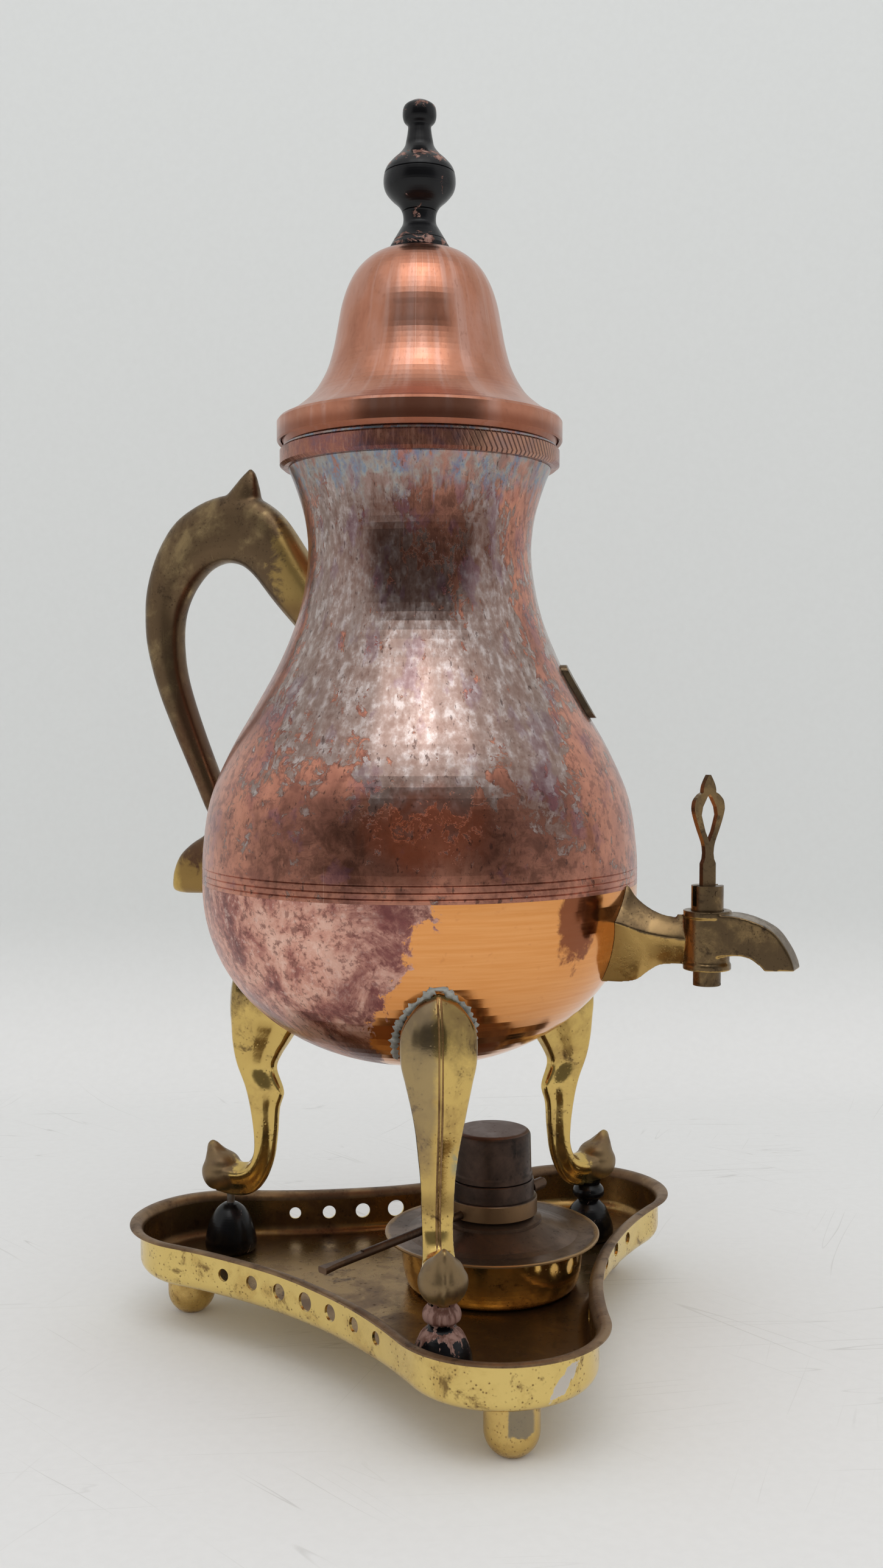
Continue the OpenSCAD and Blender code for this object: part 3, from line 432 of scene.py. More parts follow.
def tray_flake(look, colour, gloss, patches):
    """A white flake of old paint on the wall of the front lobe."""
    x, y, z = look.split(look.moved(look.place, (-0.0759, 0.0849, -0.0288)))
    across = look.total((x, 0.438), (y, 0.899))
    turned = look.add(across, look.times(z, -0.9))
    round_it = look.math("SQRT", look.total((turned, turned), (look.times(z, z), 0.35)))
    near = look.length(x, y)
    flake = look.both(look.step(look.add(round_it, centred(look, patches, 0.011)), 0.0034, 0.0029),
                      look.step(near, 0.014, 0.011))
    colour = look.mix(flake, colour, rgb(226, 220, 212))
    return colour, look.blend(flake, gloss, 0.8)


def black_wood(name, chipped=False):
    look = new_look(name)
    grain = look.noise(look.scaled(look.place, (420, 420, 60)), 1, 5, 0.6, 0.4)
    chips = look.noise(look.place, 190, 6, 0.7, 0.8)
    dust = look.noise(look.place, 60, 4, 0.6)
    z = look.split(look.place)[2]
    lacquer = look.mix(look.step(dust, 0.4, 0.7), rgb(4, 4, 6), rgb(15, 15, 19))
    bare = look.mix(look.step(grain, 0.4, 0.6), rgb(112, 74, 62), rgb(164, 128, 116))
    if chipped:
        # Bare wood on the bead, and runs of it down the shoulder of the acorn
        streaks = look.scaled(look.moved(look.place, (0.02, 0.03, 0)), (330, 330, 55))
        runs = look.noise(streaks, 1, 5, 0.66)
        bead = look.either(look.within(z, 0.0362, 0.037, 0.0424, 0.0432),
                           look.within(z, 0.0318, 0.0335, 0.0345, 0.0352))
        worn = look.step(look.add(runs, look.add(look.times(bead, 0.16),
                                                 look.step(z, 0.022, 0.034, -0.1, 0.03))), 0.535, 0.56)
    else:
        # Chips on the finial's ridges, and dust in the turned grooves
        ends = look.either(look.step(z, 0.443, 0.449), look.within(z, 0.425, 0.427, 0.43, 0.432),
                           look.within(z, 0.397, 0.3975, 0.4015, 0.4025))
        worn = look.step(look.add(chips, look.times(ends, 0.12)), 0.655, 0.675)
    colour = look.mix(look.times(worn, 0.9), lacquer, bare)
    rough = look.add(look.step(worn, 0, 1, 0.2, 0.6), look.times(dust, 0.12))
    height = look.total((grain, 0.3), (worn, -1))
    return look.surface(colour, rough, height, 0.35, 0.0002, Specular_IOR_Level=0.32)


def cotton():
    look = new_look("cotton")
    weave = look.noise(look.scaled(look.place, (900, 900, 300)), 1, 3, 0.5)
    top = look.step(look.split(look.place)[2], 0.058, 0.064)
    colour = look.mix(top, look.mix(weave, rgb(188, 178, 158), rgb(226, 218, 200)), rgb(30, 26, 22))
    return look.surface(colour, 0.9, weave, 0.6, 0.0003)


def plain_steel():
    look = new_look("steel")
    grain = look.noise(look.place, 700, 4, 0.6)
    colour = look.mix(grain, rgb(120, 116, 110), rgb(186, 182, 176))
    return look.surface(colour, look.step(grain, 0.3, 0.7, 0.28, 0.45), grain, 0.2, 0.0001, Metallic=1)


def sleeve_age(look, colour, gloss, patches):
    """The sleeve is dark above its collar, and brown with a golden edge on the collar."""
    collar = look.step(look.split(look.place)[2], 0.0538, 0.0532)
    return look.paint(colour, collar, 0.8, 134, 104, 72), gloss


def cap_painted_top_light(look, colour, gloss, patches):
    """The cap's flat top is painted paler than its side, a painted reflection of the bowl above it."""
    up = look.split(look.node("NewGeometry").outputs["Normal"])[2]
    # Painted reflection on the faces that look up
    return look.speckled(colour, up, 0.6, 0.9, 0.8, 112, 88, 78), gloss


def plate_painted_rim_light(look, colour, gloss, patches):
    """The plate's edge is painted a lighter brass, as painted light on its rim."""
    radius = look.turned(BURNER)[2]
    edge = look.step(look.add(radius, centred(look, patches, 0.004)), 0.0372, 0.039)
    # Painted light along the rim
    return look.paint(colour, edge, 0.7, 176, 142, 96), gloss


# Name, then bright, middle and dark tone, size of the patches, cover, pits, roughness of bright and of
# covered metal, what is added to it, and how metallic it is
METALS = {
    "aged_brass": ((150, 128, 92), (104, 84, 62), (64, 50, 38), 1, 0.46, 0.5, (0.2, 0.34), handle_painted_light),
    "leg_brass": ((214, 182, 108), (178, 146, 88), (96, 74, 50), 1, 0.55, 0.4, (0.14, 0.26), leg_tarnish_and_painted_light),
    "plaque_brass": ((128, 108, 82), (96, 82, 66), (60, 50, 42), 0.7, 0.5, 0.4, (0.3, 0.45)),
    "bronze": ((134, 110, 76), (100, 82, 60), (58, 46, 36), 0.7, 0.48, 0.5, (0.2, 0.34), tap_painted_reflection),
    "tray_brass": ((228, 200, 124), (204, 172, 102), (112, 86, 54), 1, 0.56, 0.9, (0.2, 0.34),
                   tray_flake),
    "dark_bronze": ((110, 86, 68), (86, 68, 55), (54, 42, 36), 1.2, 0.46, 0.35, (0.3, 0.42),
                    plate_painted_rim_light, 0.85),
    "foot_brass": ((214, 182, 112), (184, 150, 90), (104, 78, 50), 0.8, 0.54, 0.7, (0.22, 0.36),
                   foot_patch),
    "pot_brass": ((214, 172, 98), (178, 134, 74), (96, 68, 42), 1, 0.54, 0.5, (0.12, 0.24)),
    "cap_bronze": ((76, 58, 48), (52, 41, 35), (34, 28, 25), 1.4, 0.5, 0.3, (0.34, 0.46), cap_painted_top_light, 0.8),
    "sleeve_bronze": ((78, 60, 50), (55, 44, 38), (36, 30, 27), 1.4, 0.5, 0.3, (0.32, 0.44),
                      sleeve_age, 0.8),
    "lever_bronze": ((104, 78, 56), (74, 56, 43), (48, 37, 31), 1.2, 0.48, 0.3, (0.3, 0.42), None, 0.85),
    "ridge_brass": ((150, 118, 76), (104, 76, 50), (66, 42, 30), 1, 0.5, 0.3, (0.2, 0.42)),
    "solder": ((176, 176, 170), (140, 140, 134), (78, 76, 72), 0.5, 0.5, 0.4, (0.5, 0.7), None, 0.6),
    "tray_flange": ((146, 118, 86), (116, 92, 70), (78, 60, 46), 1, 0.48, 0.3, (0.38, 0.48), None, 0.9),
    "tray_inside": ((160, 128, 78), (116, 88, 60), (70, 50, 36), 1.6, 0.5, 0.5, (0.24, 0.36)),
}
LOOKS = {name: aged_metal(name, *values) for name, values in METALS.items()}
LOOKS.update(patina_copper=patina_copper(), bowl_copper=bowl_copper(), band_copper=band_copper(),
             lid_copper=lid_copper(), black_wood=black_wood("black_wood"),
             chipped_wood=black_wood("chipped_wood", True), steel=plain_steel(), cotton=cotton())
for name, nodes in {
        "tray_brass": "tray", "foot_brass": "ball_foot_front ball_foot_right ball_foot_left",
        "patina_copper": "body_upper", "bowl_copper": "body_lower", "band_copper": "neck_band",
        "lid_copper": "lid_dome lid_collar", "plaque_brass": "plaque", "aged_brass": "handle",
        "leg_brass": "leg_front leg_right leg_left", "chipped_wood": "wood_foot_front",
        "black_wood": "wood_foot_right wood_foot_left finial",
        "bronze": "tap_body tap_plug tap_key tap_rivet tap_nut",
        "steel": "foot_pin_front foot_pin_right foot_pin_left finial_screw finial_washer sleeve_stud",
        "pot_brass": "burner_reservoir",
        "dark_bronze": "burner_plate burner_neck wick_tube regulator_stub",
        "cotton": "wick", "sleeve_bronze": "regulator_sleeve", "lever_bronze": "regulator_lever",
        "cap_bronze": "snuffer_cap"}.items():
    for node in nodes.split():
        for slot in NODES[node].material_slots:
            slot.material = LOOKS[name]


def link(name, data):
    made = bpy.data.objects.new(name, data)
    bpy.context.collection.objects.link(made)
    return made


def upright(turn, centre=URN):
    """The place of what is drawn about the origin and turned about an upright axis."""
    return Matrix.Translation(centre) @ Matrix.Rotation(math.radians(turn), 4, "Z")


def poured(name, form):
    """A mesh from a form, which is freed."""
    mesh = bpy.data.meshes.new(name)
    form.to_mesh(mesh)
    form.free()
    return mesh


def meshed(name, verts, faces):
    """A mesh whose faces all look outwards."""
    mesh = bpy.data.meshes.new(name)
    mesh.from_pydata(verts, [], faces)
    form = bmesh.new()
    form.from_mesh(mesh)
    bmesh.ops.recalc_face_normals(form, faces=form.faces)
    form.to_mesh(mesh)
    form.free()
    return mesh


def curve(points, steps):
    """A smooth curve through points of any dimension, with that many steps between neighbours."""
    last = len(points) - 1
    result = []
    for i in range(last):
        a, b, c, d = points[max(i - 1, 0)], points[i], points[i + 1], points[min(i + 2, last)]
        for k in range(steps):
            t = k / steps
            result.append([0.5 * (2 * q + (r - p) * t + (2 * p - 5 * q + 4 * r - s) * t * t
                                  + (3 * q - p - 3 * r + s) * t ** 3) for p, q, r, s in zip(a, b, c, d)])
    result.append(list(points[last]))
    return result


def skin(name, rings):
    """A mesh over rings of equally many points, capped at both ends."""
    size = len(rings[0])
    verts = [tuple(point) for ring in rings for point in ring]
    faces = []
    for i in range(len(rings) - 1):
        for j in range(size):
            n = (j + 1) % size
            faces.append((i * size + j, i * size + n, (i + 1) * size + n, (i + 1) * size + j))
    faces.append(tuple(range(size - 1, -1, -1)))
    faces.append(tuple((len(rings) - 1) * size + j for j in range(size)))
    return meshed(name, verts, faces)


def turned_skin(name, profile, segments, centre):
    """A closed form turned about an axis, from [radius, height] points that start and end on it."""
    verts = []
    faces = []
    rows = []
    for radius, z in profile:
        if radius < 1e-7:
            rows.append([len(verts)])
            verts.append((centre.x, centre.y, z))
            continue
        rows.append(list(range(len(verts), len(verts) + segments)))
        for k in range(segments):
            a = 2 * math.pi * k / segments
            verts.append((centre.x + radius * math.cos(a), centre.y + radius * math.sin(a), z))
    for low, high in zip(rows, rows[1:]):
        for k in range(segments):
            n = (k + 1) % segments
            if len(low) == 1:
                faces.append((low[0], high[n], high[k]))
            elif len(high) == 1:
                faces.append((low[k], low[n], high[0]))
            else:
                faces.append((low[k], low[n], high[n], high[k]))
    return meshed(name, verts, faces)


def applied(item):
    """The item's mesh with its modifiers worked in."""
    graph = bpy.context.evaluated_depsgraph_get()
    graph.update()
    mesh = bpy.data.meshes.new_from_object(item.evaluated_get(graph))
    item.modifiers.clear()
    item.data = mesh
    return item


def cut(item, cutter):
    change = item.modifiers.new("cut", "BOOLEAN")
    change.operation = "DIFFERENCE"
    change.object = cutter
    change.solver = "MANIFOLD"
    return applied(item)


def fused(name, meshes, voxel, rounds):
    """One skin round several closed forms, with its edges eased, and cut off at the urn's outside."""
    form = bmesh.new()
    for mesh in meshes:
        form.from_mesh(mesh)
    item = link(name, poured(name, form))
    remesh = item.modifiers.new("remesh", "REMESH")
    remesh.mode = "VOXEL"
    remesh.voxel_size = voxel * MM
    ease = item.modifiers.new("ease", "SMOOTH")
    ease.factor = 0.5
    ease.iterations = rounds
    return cut(applied(item), CUTTER)


def finish(item, look, slot, body, *nodes, sharp=40):
    """Gives a piece its material, if it has none yet, its body and the CAD nodes that it stands for."""
    if look:
        item.data.materials.clear()
        item.data.materials.append(look)
    for face in item.data.polygons:
        face.use_smooth = True
    item.data.set_sharp_from_angle(angle=math.radians(sharp))
    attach(item, body)
    if nodes:
        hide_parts(*nodes)
    return item


def mirrored(half):
    """The whole of a section, from its half."""
    return half + [[q[0], -q[1]] for q in reversed(half) if q[1] > 1e-9]


def bar(name, stations, half, turn):
    """A bar along stations [outer r, outer z, inner r, inner z, width] in the plane of the urn's axis,
    with half a section of [share of the way from inside to outside, share of the width]."""
    around = upright(turn)
    rings = []
    for outer_r, outer_z, inner_r, inner_z, width in stations:
        ring = []
        for out, side in mirrored(half):
            point = (inner_r + (outer_r - inner_r) * out, width * side,
                     inner_z + (outer_z - inner_z) * out)
            ring.append(around @ (Vector(point) * MM))
        rings.append(ring)
    return skin(name, rings)


# The urn's outside, in millimetres: the bowl, a little fuller than an ellipsoid, and the body on it
BELLY_R, SEAM_Z, BOWL_DEPTH, BOWL_STEPS, BOWL_POWER = 79, 170, 66.5, 40, 2 / 2.1
BODY = [[79, 170.5], [78.6, 182.1], [75.8, 200], [68.4, 217.5], [59.2, 233.5], [50.6, 249.3], [44.3, 265],
        [41.1, 280], [40.4, 291], [41.8, 302], [44.9, 312.3], [47.4, 318.4]]


def urn_outside(gap):
    """The filled outside of the urn, larger by gap."""
    profile = []
    for i in range(BOWL_STEPS + 1):
        t = math.radians(90 - 90 * i / BOWL_STEPS)
        profile.append([BELLY_R * abs(math.cos(t)) ** BOWL_POWER,
                        SEAM_Z - BOWL_DEPTH * math.sin(t) ** BOWL_POWER])
    profile[0][0] = 0
    profile += curve(BODY, 6)
    grown = [[0, profile[0][1] - gap]]
    for i in range(1, len(profile)):
        a = profile[i - 1]
        b = profile[min(i + 1, len(profile) - 1)]
        length = math.hypot(b[0] - a[0], b[1] - a[1])
        grown.append([profile[i][0] + gap * (b[1] - a[1]) / length,
                      profile[i][1] - gap * (b[0] - a[0]) / length])
    grown.append([0, BODY[-1][1]])
    return [[r * MM, z * MM] for r, z in grown]


def bowl_radius(z):
    """Outer radius of the bowl or the body at a height, in millimetres."""
    line = [[r / MM, h / MM] for r, h in OUTSIDE[:-1]]
    for (r0, z0), (r1, z1) in zip(line, line[1:]):
        if z0 <= z <= z1:
            return r0 + (r1 - r0) * (z - z0) / max(z1 - z0, 1e-9)
    return line[-1][0]


OUTSIDE = urn_outside(0)
# Castings end this far off the urn, as its solids do
CAST_GAP = 0.08
CUTTER = link("cutter", turned_skin("cutter", urn_outside(CAST_GAP), 160, URN))

# Above its tail, the handle reaches out further than drawn, by a share of the distance past a radius
HANDLE_GROWTH, GROWTH_FROM_R, GROWTH_FROM_Z = 0.034, 57, 190
HANDLE = [[37, 277, 42, 255, 19], [46.6, 290, 51.5, 264, 17.5], [57, 304.5, 60, 272.8, 15.5],
          [66, 311.5, 67.5, 281.8, 14.5], [74.5, 314, 73.5, 286.6, 14], [84, 313.5, 80, 288.2, 14],
          [93.5, 310.3, 86, 287, 14], [103, 304, 91.5, 283.4, 14], [110.5, 293, 97, 276.5, 13.6],
          [115, 280, 100.5, 268, 13.2], [116, 268, 101.3, 257.5, 13], [115, 256, 100, 246, 12.6],
          [110.5, 240, 96.8, 235, 12], [103.5, 223.5, 91.8, 221.5, 11.6], [96, 207.5, 86, 207.5, 11.2],
          [90.8, 196, 81, 196.5, 11], [88.5, 188.5, 76, 186, 11], [91.5, 183.8, 76.5, 170, 11.5],
          [97.5, 180, 87, 161.6, 12], [102.5, 175.5, 96.5, 160.2, 11.4], [105, 170, 103, 160.5, 8.5],
          [105.3, 165.6, 105.3, 161.8, 4]]
SPUR = [[70, 300, 84, 311, 12], [67, 307, 79, 316, 9.5], [67.5, 314.5, 74.6, 320.6, 6.5],
        [69, 321.5, 71, 324, 2.2]]
GRIP = [[1, 0], [1, 0.1], [0.985, 0.2], [0.95, 0.29], [0.89, 0.37], [0.8, 0.44], [0.68, 0.488],
        [0.5, 0.5], [0.34, 0.495], [0.22, 0.46], [0.12, 0.39], [0.045, 0.28], [0.01, 0.15], [0, 0]]


def handle():
    def grown(radius):
        return radius + HANDLE_GROWTH * max(radius - GROWTH_FROM_R, 0)

    stations = [[grown(outer_r) if z > GROWTH_FROM_Z else outer_r, z, grown(inner_r), inner_z, width]
                for outer_r, z, inner_r, inner_z, width in HANDLE]
    arm = bar("arm", curve(stations, 6), GRIP, 180)
    spur = bar("spur", curve(SPUR, 8), GRIP, 180)
    item = fused("handle_cast", [arm, spur], 0.75, 6)
    finish(item, LOOKS["aged_brass"], "aged_brass", "urn", "handle")


LEG = [[71.4, 141, 66, 139.5, 3], [75.2, 137.2, 60, 133, 15], [79.4, 130.5, 53, 123, 24.4],
       [81, 121.5, 52, 112, 25], [80.7, 114, 55.5, 105.5, 22], [80, 106, 59.8, 99, 18.6],
       [78.3, 97.3, 61.6, 93.6, 15.8], [75, 87.5, 58.4, 85.2, 13.4], [72.3, 78, 60.2, 78.4, 11.6],
       [70.6, 68.5, 61, 68.6, 10.8], [70.5, 62, 62.6, 58.5, 10.3], [72.6, 57.5, 66.5, 49.6, 10.6],
       [76.5, 56.3, 72, 44.2, 12], [81.5, 57, 79.5, 42.6, 14], [86, 58, 88, 43.5, 13]]
SHANK = [[0.965, 0], [0.955, 0.06], [0.935, 0.12], [0.89, 0.24], [0.835, 0.36], [0.775, 0.455],
         [0.74, 0.49], [0.69, 0.5], [0.6, 0.485], [0.5, 0.45], [0.4, 0.39], [0.3, 0.3], [0.21, 0.22],
         [0.13, 0.185], [0.05, 0.16], [0, 0.1], [0, 0]]
BUD_R = 8.1
BUD_AT = Vector((85.6, 0, 51.4))
# The double line on a leg's ridge, as [distance across, distance out]
RIDGE = [(-0.95, -0.8), (-0.85, 0.1), (-0.62, 0.42), (-0.36, 0.34), (0, -0.02), (0.36, 0.34),
         (0.62, 0.42), (0.85, 0.1), (0.95, -0.8)]
RIDGE_FIRST, RIDGE_LAST, RIDGE_WIDTH = 3, 68, 1.05
# Edge where a leg meets the bowl, as [height, half width]
SOLDER_EDGE = [[112, 11.2], [117, 12.7], [122, 13], [127, 12.6], [131, 11.2], [135, 8.6],
               [139, 4.6], [142, 1.6]]
BEAD_WIDTH, BEAD_RISE = 1.35, 0.62


def bud(turn):
    """The closed bud at the end of a leg, with a rib down its front and a point that turns up."""
    form = bmesh.new()
    bmesh.ops.create_icosphere(form, subdivisions=5, radius=1)
    point = Vector((0.42, 0, 0.91)).normalized()
    place = upright(turn)
    for vert in form.verts:
        way = vert.co.normalized()
        size = BUD_R + 4.2 * max(way.dot(point), 0) ** 15
        if way.x > -0.2:
            size += 0.55 * math.exp(-(way.y / 0.055) ** 2)
            size -= 0.35 * math.exp(-((abs(way.y) - 0.16) / 0.08) ** 2)
        size -= 0.5 * math.exp(-((way.z - 0.45) / 0.16) ** 2) * abs(way.y)
        size -= 0.9 * max(-way.z - 0.75, 0) / 0.25
        vert.co = place @ ((way * size + BUD_AT) * MM)
    return poured("bud", form)


def leg(name, turn):
    stations = curve(LEG, 6)
    item = fused("leg_cast_" + name, [bar("shank", stations, SHANK, turn), bud(turn)], 0.5, 4)
    finish(item, LOOKS["leg_brass"], "leg_brass", "urn", "leg_" + name)
    # Double line along the ridge, from the peak down to the bud
    place = upright(turn)
    rings = []
    for k, (outer_r, outer_z, inner_r, inner_z, _) in enumerate(stations[RIDGE_FIRST:RIDGE_LAST]):
        depth = Vector((outer_r - inner_r, 0, outer_z - inner_z))
        out = depth.normalized()
        base = Vector((inner_r, 0, inner_z)) + depth * 0.955
        taper = min(1, (k + 1) / 5, (RIDGE_LAST - RIDGE_FIRST - k) / 5)
        rings.append([place @ ((base + Vector((0, side * RIDGE_WIDTH, 0)) + out * (rise * taper)) * MM)
                      for side, rise in RIDGE])
    ridge = link("leg_ridge_" + name, skin("ridge", rings))
    finish(ridge, LOOKS["ridge_brass"], "leg_brass", "urn")
    solder_bead(name, turn)


def solder_bead(name, turn):
    """Rough solder along the edge where the leg meets the bowl."""
    line = curve(SOLDER_EDGE, 7)
    line = [[z, -side] for z, side in line] + [[z, side] for z, side in reversed(line)]
    place = upright(turn)
    rings = []
    for k, (z, side) in enumerate(line):
        radius = bowl_radius(z)
        centre = Vector((math.sqrt(radius * radius - side * side), side, z))
        out = Vector((centre.x, centre.y, (z - SEAM_Z) * 1.1)).normalized()
        other = line[min(k + 1, len(line) - 1)]
        before = line[max(k - 1, 0)]
        along = Vector((0, other[1] - before[1], other[0] - before[0])).normalized()
        across = along.cross(out).normalized()
        swell = 1 + 0.35 * math.sin(k * 1.7 + turn) + 0.25 * math.sin(k * 0.61 + 2 * turn)
        swell *= min(1, (k + 1) / 6, (len(line) - k) / 6)
        ring = []
        for j in range(8):
            a = 2 * math.pi * j / 8
            lump = 1 + 0.2 * math.sin(3.1 * k + 2.3 * j)
            ring.append(place @ ((centre + across * (BEAD_WIDTH * swell * lump * math.cos(a))
                                  + out * (BEAD_RISE * swell * lump * math.sin(a))) * MM))
        rings.append(ring)
    bead = link("solder_" + name, skin("solder", rings))
    finish(bead, LOOKS["solder"], "steel", "urn", sharp=60)


# Tray: outline of three lobes with an arc curving in between each pair
LOBE_CIRCLE, LOBE_R, WAIST = 83, 36, 66
WAIST_R = ((LOBE_R ** 2 - WAIST ** 2 - LOBE_CIRCLE ** 2 + WAIST * LOBE_CIRCLE)
           / (2 * WAIST - LOBE_CIRCLE - 2 * LOBE_R))
WAIST_C = WAIST + WAIST_R
LOBE_HALF = math.atan2(WAIST_C * math.sin(math.radians(60)),
                       WAIST_C * math.cos(math.radians(60)) - LOBE_CIRCLE)
LOBE_STEPS, WAIST_STEPS = 56, 30
TRAY_TURN = 9.3 - 60
# Widths of the holes in a row, their distance apart, and the height of their middle
HOLES, HOLE_STEP, HOLE_Z = (4.62, 5.21, 5.81, 6.6, 5.81, 5.21, 4.62), 13.6, 28.9


def tray_outline(inset):
    line = []
    for k in range(3):
        a = math.radians(120 * k)
        for i in range(LOBE_STEPS + 1):
            b = a + LOBE_HALF * (2 * i / LOBE_STEPS - 1)
            line.append((LOBE_CIRCLE * math.cos(a) + (LOBE_R - inset) * math.cos(b),
                         LOBE_CIRCLE * math.sin(a) + (LOBE_R - inset) * math.sin(b)))
        c = a + math.radians(60)
        half = LOBE_HALF - math.radians(60)
        for i in range(1, WAIST_STEPS):
            b = c + math.pi + half * (1 - 2 * i / WAIST_STEPS)
            line.append((WAIST_C * math.cos(c) + (WAIST_R + inset) * math.cos(b),
                         WAIST_C * math.sin(c) + (WAIST_R + inset) * math.sin(b)))
    return line


def arc(centre_x, centre_z, radius, start, end, steps):
    return [[centre_x + radius * math.cos(math.radians(start + (end - start) * i / steps)),
             centre_z + radius * math.sin(math.radians(start + (end - start) * i / steps))]
            for i in range(steps + 1)]


def tray():
    place = upright(TRAY_TURN, TRAY)
    section = arc(9, 24.5, 5, 270, 180, 8) + arc(2, 34, 2, 0, 90, 5)
    outside = len(section)
    section += [[0.35, 36.05], [0.05, 36.2], [0, 36.45], [0.1, 36.75], [0.35, 36.9]]
    section += arc(2, 34, 3, 88, 0, 6)
    flange = len(section)
    section += arc(9, 24.5, 4, 180, 270, 8)
    rings = []
    for row, (inset, z) in enumerate(section):
        ring = []
        for x, y in tray_outline(inset):
            angle = math.atan2(y, x)
            wave = 0.16 * math.sin(5 * angle + 0.7) + 0.1 * math.sin(11 * angle + 2)
            rise = max(0, min(1, (z - 30) / 6))
            ring.append(place @ (Vector((x, y, z + wave * rise * 0.5)) * MM))
        rings.append(ring)
    item = link("tray_pressed", skin("tray_pressed", rings))
    size = len(rings[0])
    cutters = bmesh.new()
    step = HOLE_STEP / (WAIST_R + 4)
    for k in range(3):
        for i, width in enumerate(HOLES):
            a = math.radians(120 * k + 60)
            b = a + math.pi + (i - len(HOLES) // 2) * step
            way = Vector((math.cos(b), math.sin(b), 0))
            centre = (Vector((WAIST_C * math.cos(a), WAIST_C * math.sin(a), 0)) + way * (WAIST_R + 4.5)
                      + Vector((0, 0, HOLE_Z)))
            turn = way.to_track_quat("Z", "Y").to_matrix().to_4x4()
            bmesh.ops.create_cone(cutters, cap_ends=True, segments=40, radius1=width / 2 * MM,
                                  radius2=width / 2 * MM, depth=6 * MM,
                                  matrix=place @ Matrix.Translation(centre * MM) @ turn)
    holes = link("holes", poured("holes", cutters))
    for name in ("tray_brass", "tray_flange", "tray_inside"):
        item.data.materials.append(LOOKS[name])
    for number, face in enumerate(item.data.polygons):
        row = number // size
        face.material_index = 0 if row < outside - 1 else (1 if row < flange - 1 else 2)
    # The underside is the last face but one
    item.data.polygons[-2].material_index = 0
    cut(item, holes)
    bpy.data.objects.remove(holes)
    finish(item, None, "tray_brass", "tray", "tray", sharp=38)


# Flare of the tap: [x, z] of its top edge and its bottom edge, then [x, half width, z] of its side edges
FLARE = [[74, 173, 62, 136.4, 74, 9.8, 159.8], [79.3, 171.5, 70, 137, 78.4, 8.9, 159.2],
         [82, 168, 76.5, 137.3, 82, 7.9, 158], [85.5, 165, 82.5, 138.5, 86, 6.7, 156.6],
         [89.5, 162.8, 87.5, 142.2, 90, 5.7, 155.5], [94, 161.5, 92, 144.5, 95, 5.1, 154.8],
         [101.6, 161, 101.6, 145.3, 101.6, 4.9, 154.4]]
# Distance from the urn's axis to where the flare ends and the barrel of the CAD solid goes on
BARREL_FROM = 97


def tap():
    """The tap's casting, with a flare whose four hollow facets spread out over the bowl."""
    rings = []
    stations = curve(FLARE, 6)
    for i, (top_x, top_z, low_x, low_z, side_x, side_y, side_z) in enumerate(stations):
        power = 2.15 - 0.6 * i / (len(stations) - 1)
        corners = [(top_x, 0, top_z), (side_x, side_y, side_z), (low_x, 0, low_z),
                   (side_x, -side_y, side_z)]
        middle = Vector((side_x, 0, side_z))
        ring = []
        for n in range(4):
            first = Vector(corners[n]) - middle
            second = Vector(corners[(n + 1) % 4]) - middle
            for k in range(10):
                turn = math.radians(9 * k)
                point = middle + first * math.cos(turn) ** power + second * math.sin(turn) ** power
                ring.append(URN + point * MM)
        rings.append(ring)
    form = bmesh.new()
    form.from_mesh(NODES["tap_body"].data)
    bmesh.ops.remove_doubles(form, verts=form.verts, dist=1e-6)
    bmesh.ops.bisect_plane(form, geom=form.verts[:] + form.edges[:] + form.faces[:], clear_inner=True,
                           plane_co=(URN.x + BARREL_FROM * MM, 0, 0), plane_no=(1, 0, 0))
    bmesh.ops.holes_fill(form, edges=[edge for edge in form.edges if edge.is_boundary])
    item = fused("tap_cast", [skin("flare", rings), poured("cast", form)], 0.35, 4)
    finish(item, LOOKS["bronze"], "bronze", "urn", "tap_body", sharp=50)


handle()
tap()
for name, turn in (("front", -60), ("right", 60), ("left", 180)):
    leg(name, turn)
tray()
bpy.data.objects.remove(CUTTER)


def stage_look(name, colour):
    """A pale painted sheet with fine scratches where it lies flat, and clear from behind."""
    look = new_look(name)
    z = look.split(look.place)[2]
    fine = look.noise(look.place, 240, 5, 0.6)
    lines = []
    for turn, shift in ((0.4, 0), (1.5, 3), (2.5, 7), (-0.5, 11)):
        spun = look.node("VectorRotate", {"Vector": look.moved(look.place, (shift, shift, 0)),
                                          "Angle": turn}, rotation_type="Z_AXIS").outputs[0]
        band = look.noise(look.scaled(spun, (2.2, 42, 1)), 1, 2, 0.5, 0.25)
        near = look.math("ABSOLUTE", look.math("SUBTRACT", band, 0.5))
        gate = look.step(look.noise(look.moved(look.place, (shift, 1, 0)), 11, 2, 0.5), 0.52, 0.66)
        lines.append(look.both(look.step(near, 0, 0.0035, 1, 0), gate))
    colour = look.mix(look.step(z, 0, 0.12), colour, rgb(225, 227, 226))
    colour = look.speckled(colour, fine, 0.3, 0.7, 0.04, 180, 178, 174)
    scratches = look.both(look.either(*lines), look.step(z, 0, 0.01, 1, 0))
    tone = look.paint(colour, scratches, 0.3, 168, 166, 160)
    paint = look.node("BsdfDiffuse", {"Color": tone})
    clear = look.node("BsdfTransparent")
    behind = look.node("NewGeometry").outputs["Backfacing"]
    shown = look.node("MixShader", {0: behind, 1: paint.outputs[0], 2: clear.outputs[0]})
    return look.given(shown.outputs[0], "OutputMaterial")


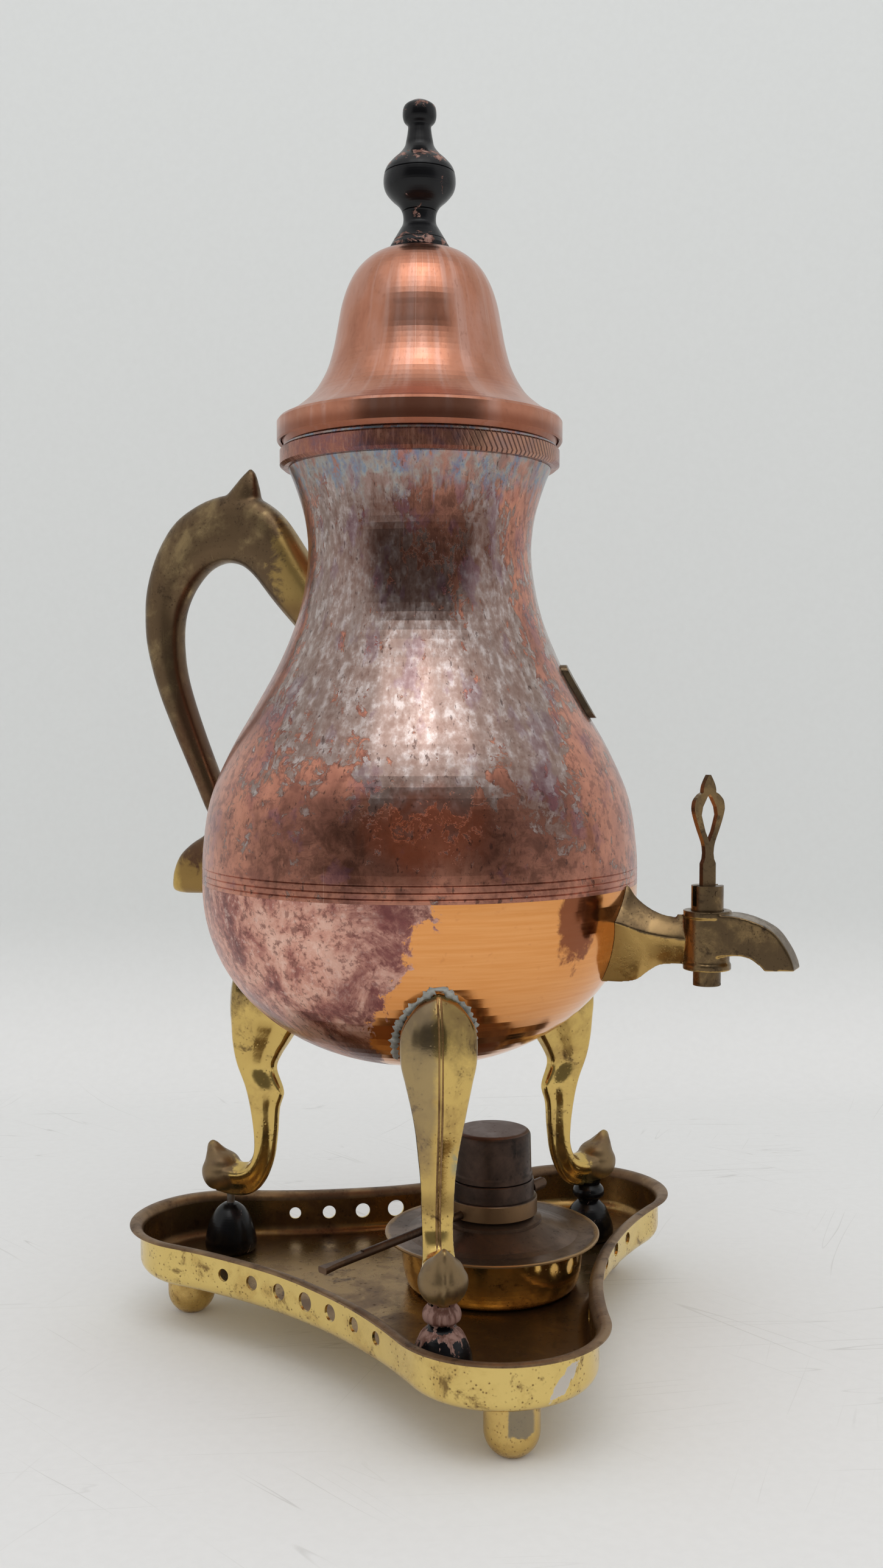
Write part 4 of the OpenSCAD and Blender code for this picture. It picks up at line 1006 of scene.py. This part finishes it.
def backdrop():
    """A sheet that lies on the table and curves up into a wall behind the object."""
    view = Vector((math.cos(FRONT), math.sin(FRONT), 0))
    across = Vector((-view.y, view.x, 0))
    bend, back = 0.1, 0.33
    profile = [(2.4, 0), (1.2, 0), (0.6, 0), (0, 0), (-back, 0)]
    for k in range(1, 13):
        a = math.radians(90 * k / 12)
        profile.append((-back - bend * math.sin(a), bend * (1 - math.cos(a))))
    profile.append((-back - bend, 2.2))
    mesh = bpy.data.meshes.new("backdrop")
    points = [view * reach + across * side + Vector((0, 0, z))
              for reach, z in profile for side in (-2.6, 2.6)]
    faces = [(2 * i, 2 * i + 1, 2 * i + 3, 2 * i + 2) for i in range(len(profile) - 1)]
    mesh.from_pydata([tuple(point) for point in points], [], faces)
    mesh.update()
    made = link("backdrop", mesh)
    for face in mesh.polygons:
        face.use_smooth = True
    if mesh.polygons[0].normal.z < 0:
        mesh.flip_normals()
    mesh.materials.append(stage_look("backdrop", rgb(240, 240, 239)))


backdrop()


def lamp(name, angle, rise, distance, width, height, power):
    """A soft box at a viewer's angle and a rise in degrees, turned to the middle of the urn."""
    data = bpy.data.lights.new(name, "AREA")
    data.shape = "RECTANGLE"
    data.size = width
    data.size_y = height
    data.energy = power
    at = FRONT + math.radians(angle)
    up = math.radians(rise)
    middle = URN + Vector((0, 0, 0.22))
    way = Vector((math.cos(at) * math.cos(up), math.sin(at) * math.cos(up), math.sin(up)))
    made = link(name, data)
    made.location = middle + way * distance
    made.rotation_euler = way.to_track_quat("Z", "Y").to_euler()


lamp("left_box", -15, 58, 1.2, 0.6, 0.62, 1.2)
lamp("right_box", 21, 58, 1.2, 0.54, 0.6, 0.95)
lamp("top", 0, 74, 1.4, 2.2, 0.9, 1.5)


# Brightness of the room: as a light, as mirrored, as mirrored from its dark front, and behind the object
ROOM_LIT, ROOM_MIRRORED, ROOM_FRONT, ROOM_SEEN = 0.8, 0.68, 0.12, 0.61


def studio():
    """An even pale room, which mirrors darker in front of the object where the photographer stands."""
    world = bpy.data.worlds.new("studio")
    bpy.context.scene.world = world
    look = Look(world, "Generated")
    flat = look.node("VectorMath", {0: look.scaled(look.place, (1, 1, 1.3))},
                     operation="NORMALIZE").outputs[0]
    toward = look.node("VectorMath", {0: flat, 1: (math.cos(FRONT), math.sin(FRONT), 0.08)},
                       operation="DOT_PRODUCT").outputs["Value"]
    path = look.node("LightPath").outputs
    shade = look.times(look.step(toward, 0.48, 0.74), path["Is Glossy Ray"])
    lit = look.blend(path["Is Glossy Ray"], ROOM_LIT, ROOM_MIRRORED)
    room = look.blend(shade, lit, ROOM_FRONT)
    shown = look.blend(path["Is Camera Ray"], room, ROOM_SEEN)
    grey = look.node("CombineColor", {0: shown, 1: shown, 2: shown}).outputs[0]
    look.given(look.node("Background", {0: grey, 1: 1}).outputs[0], "OutputWorld")


studio()


# The photograph's height and focal length in its pixels, the camera's place, how it looks down and aside
PHOTO_HEIGHT, FOCAL = 2576, 2600
CAMERA_AT = Vector((236.2, -531.9, 231.6)) * MM
CAMERA_DOWN = math.radians(2.65)
CAMERA_AIM = math.atan2(0.9048, -0.4258) - math.radians(0.78)


def camera():
    data = bpy.data.cameras.new("camera")
    data.sensor_fit = "VERTICAL"
    data.sensor_height = 36
    data.lens = data.sensor_height * FOCAL / PHOTO_HEIGHT
    data.clip_start = 0.01
    made = link("camera", data)
    made.location = CAMERA_AT
    made.rotation_euler = (math.pi / 2 - CAMERA_DOWN, 0, CAMERA_AIM - math.pi / 2)
    bpy.context.scene.camera = made


camera()
bpy.context.scene.view_settings.view_transform = "Standard"
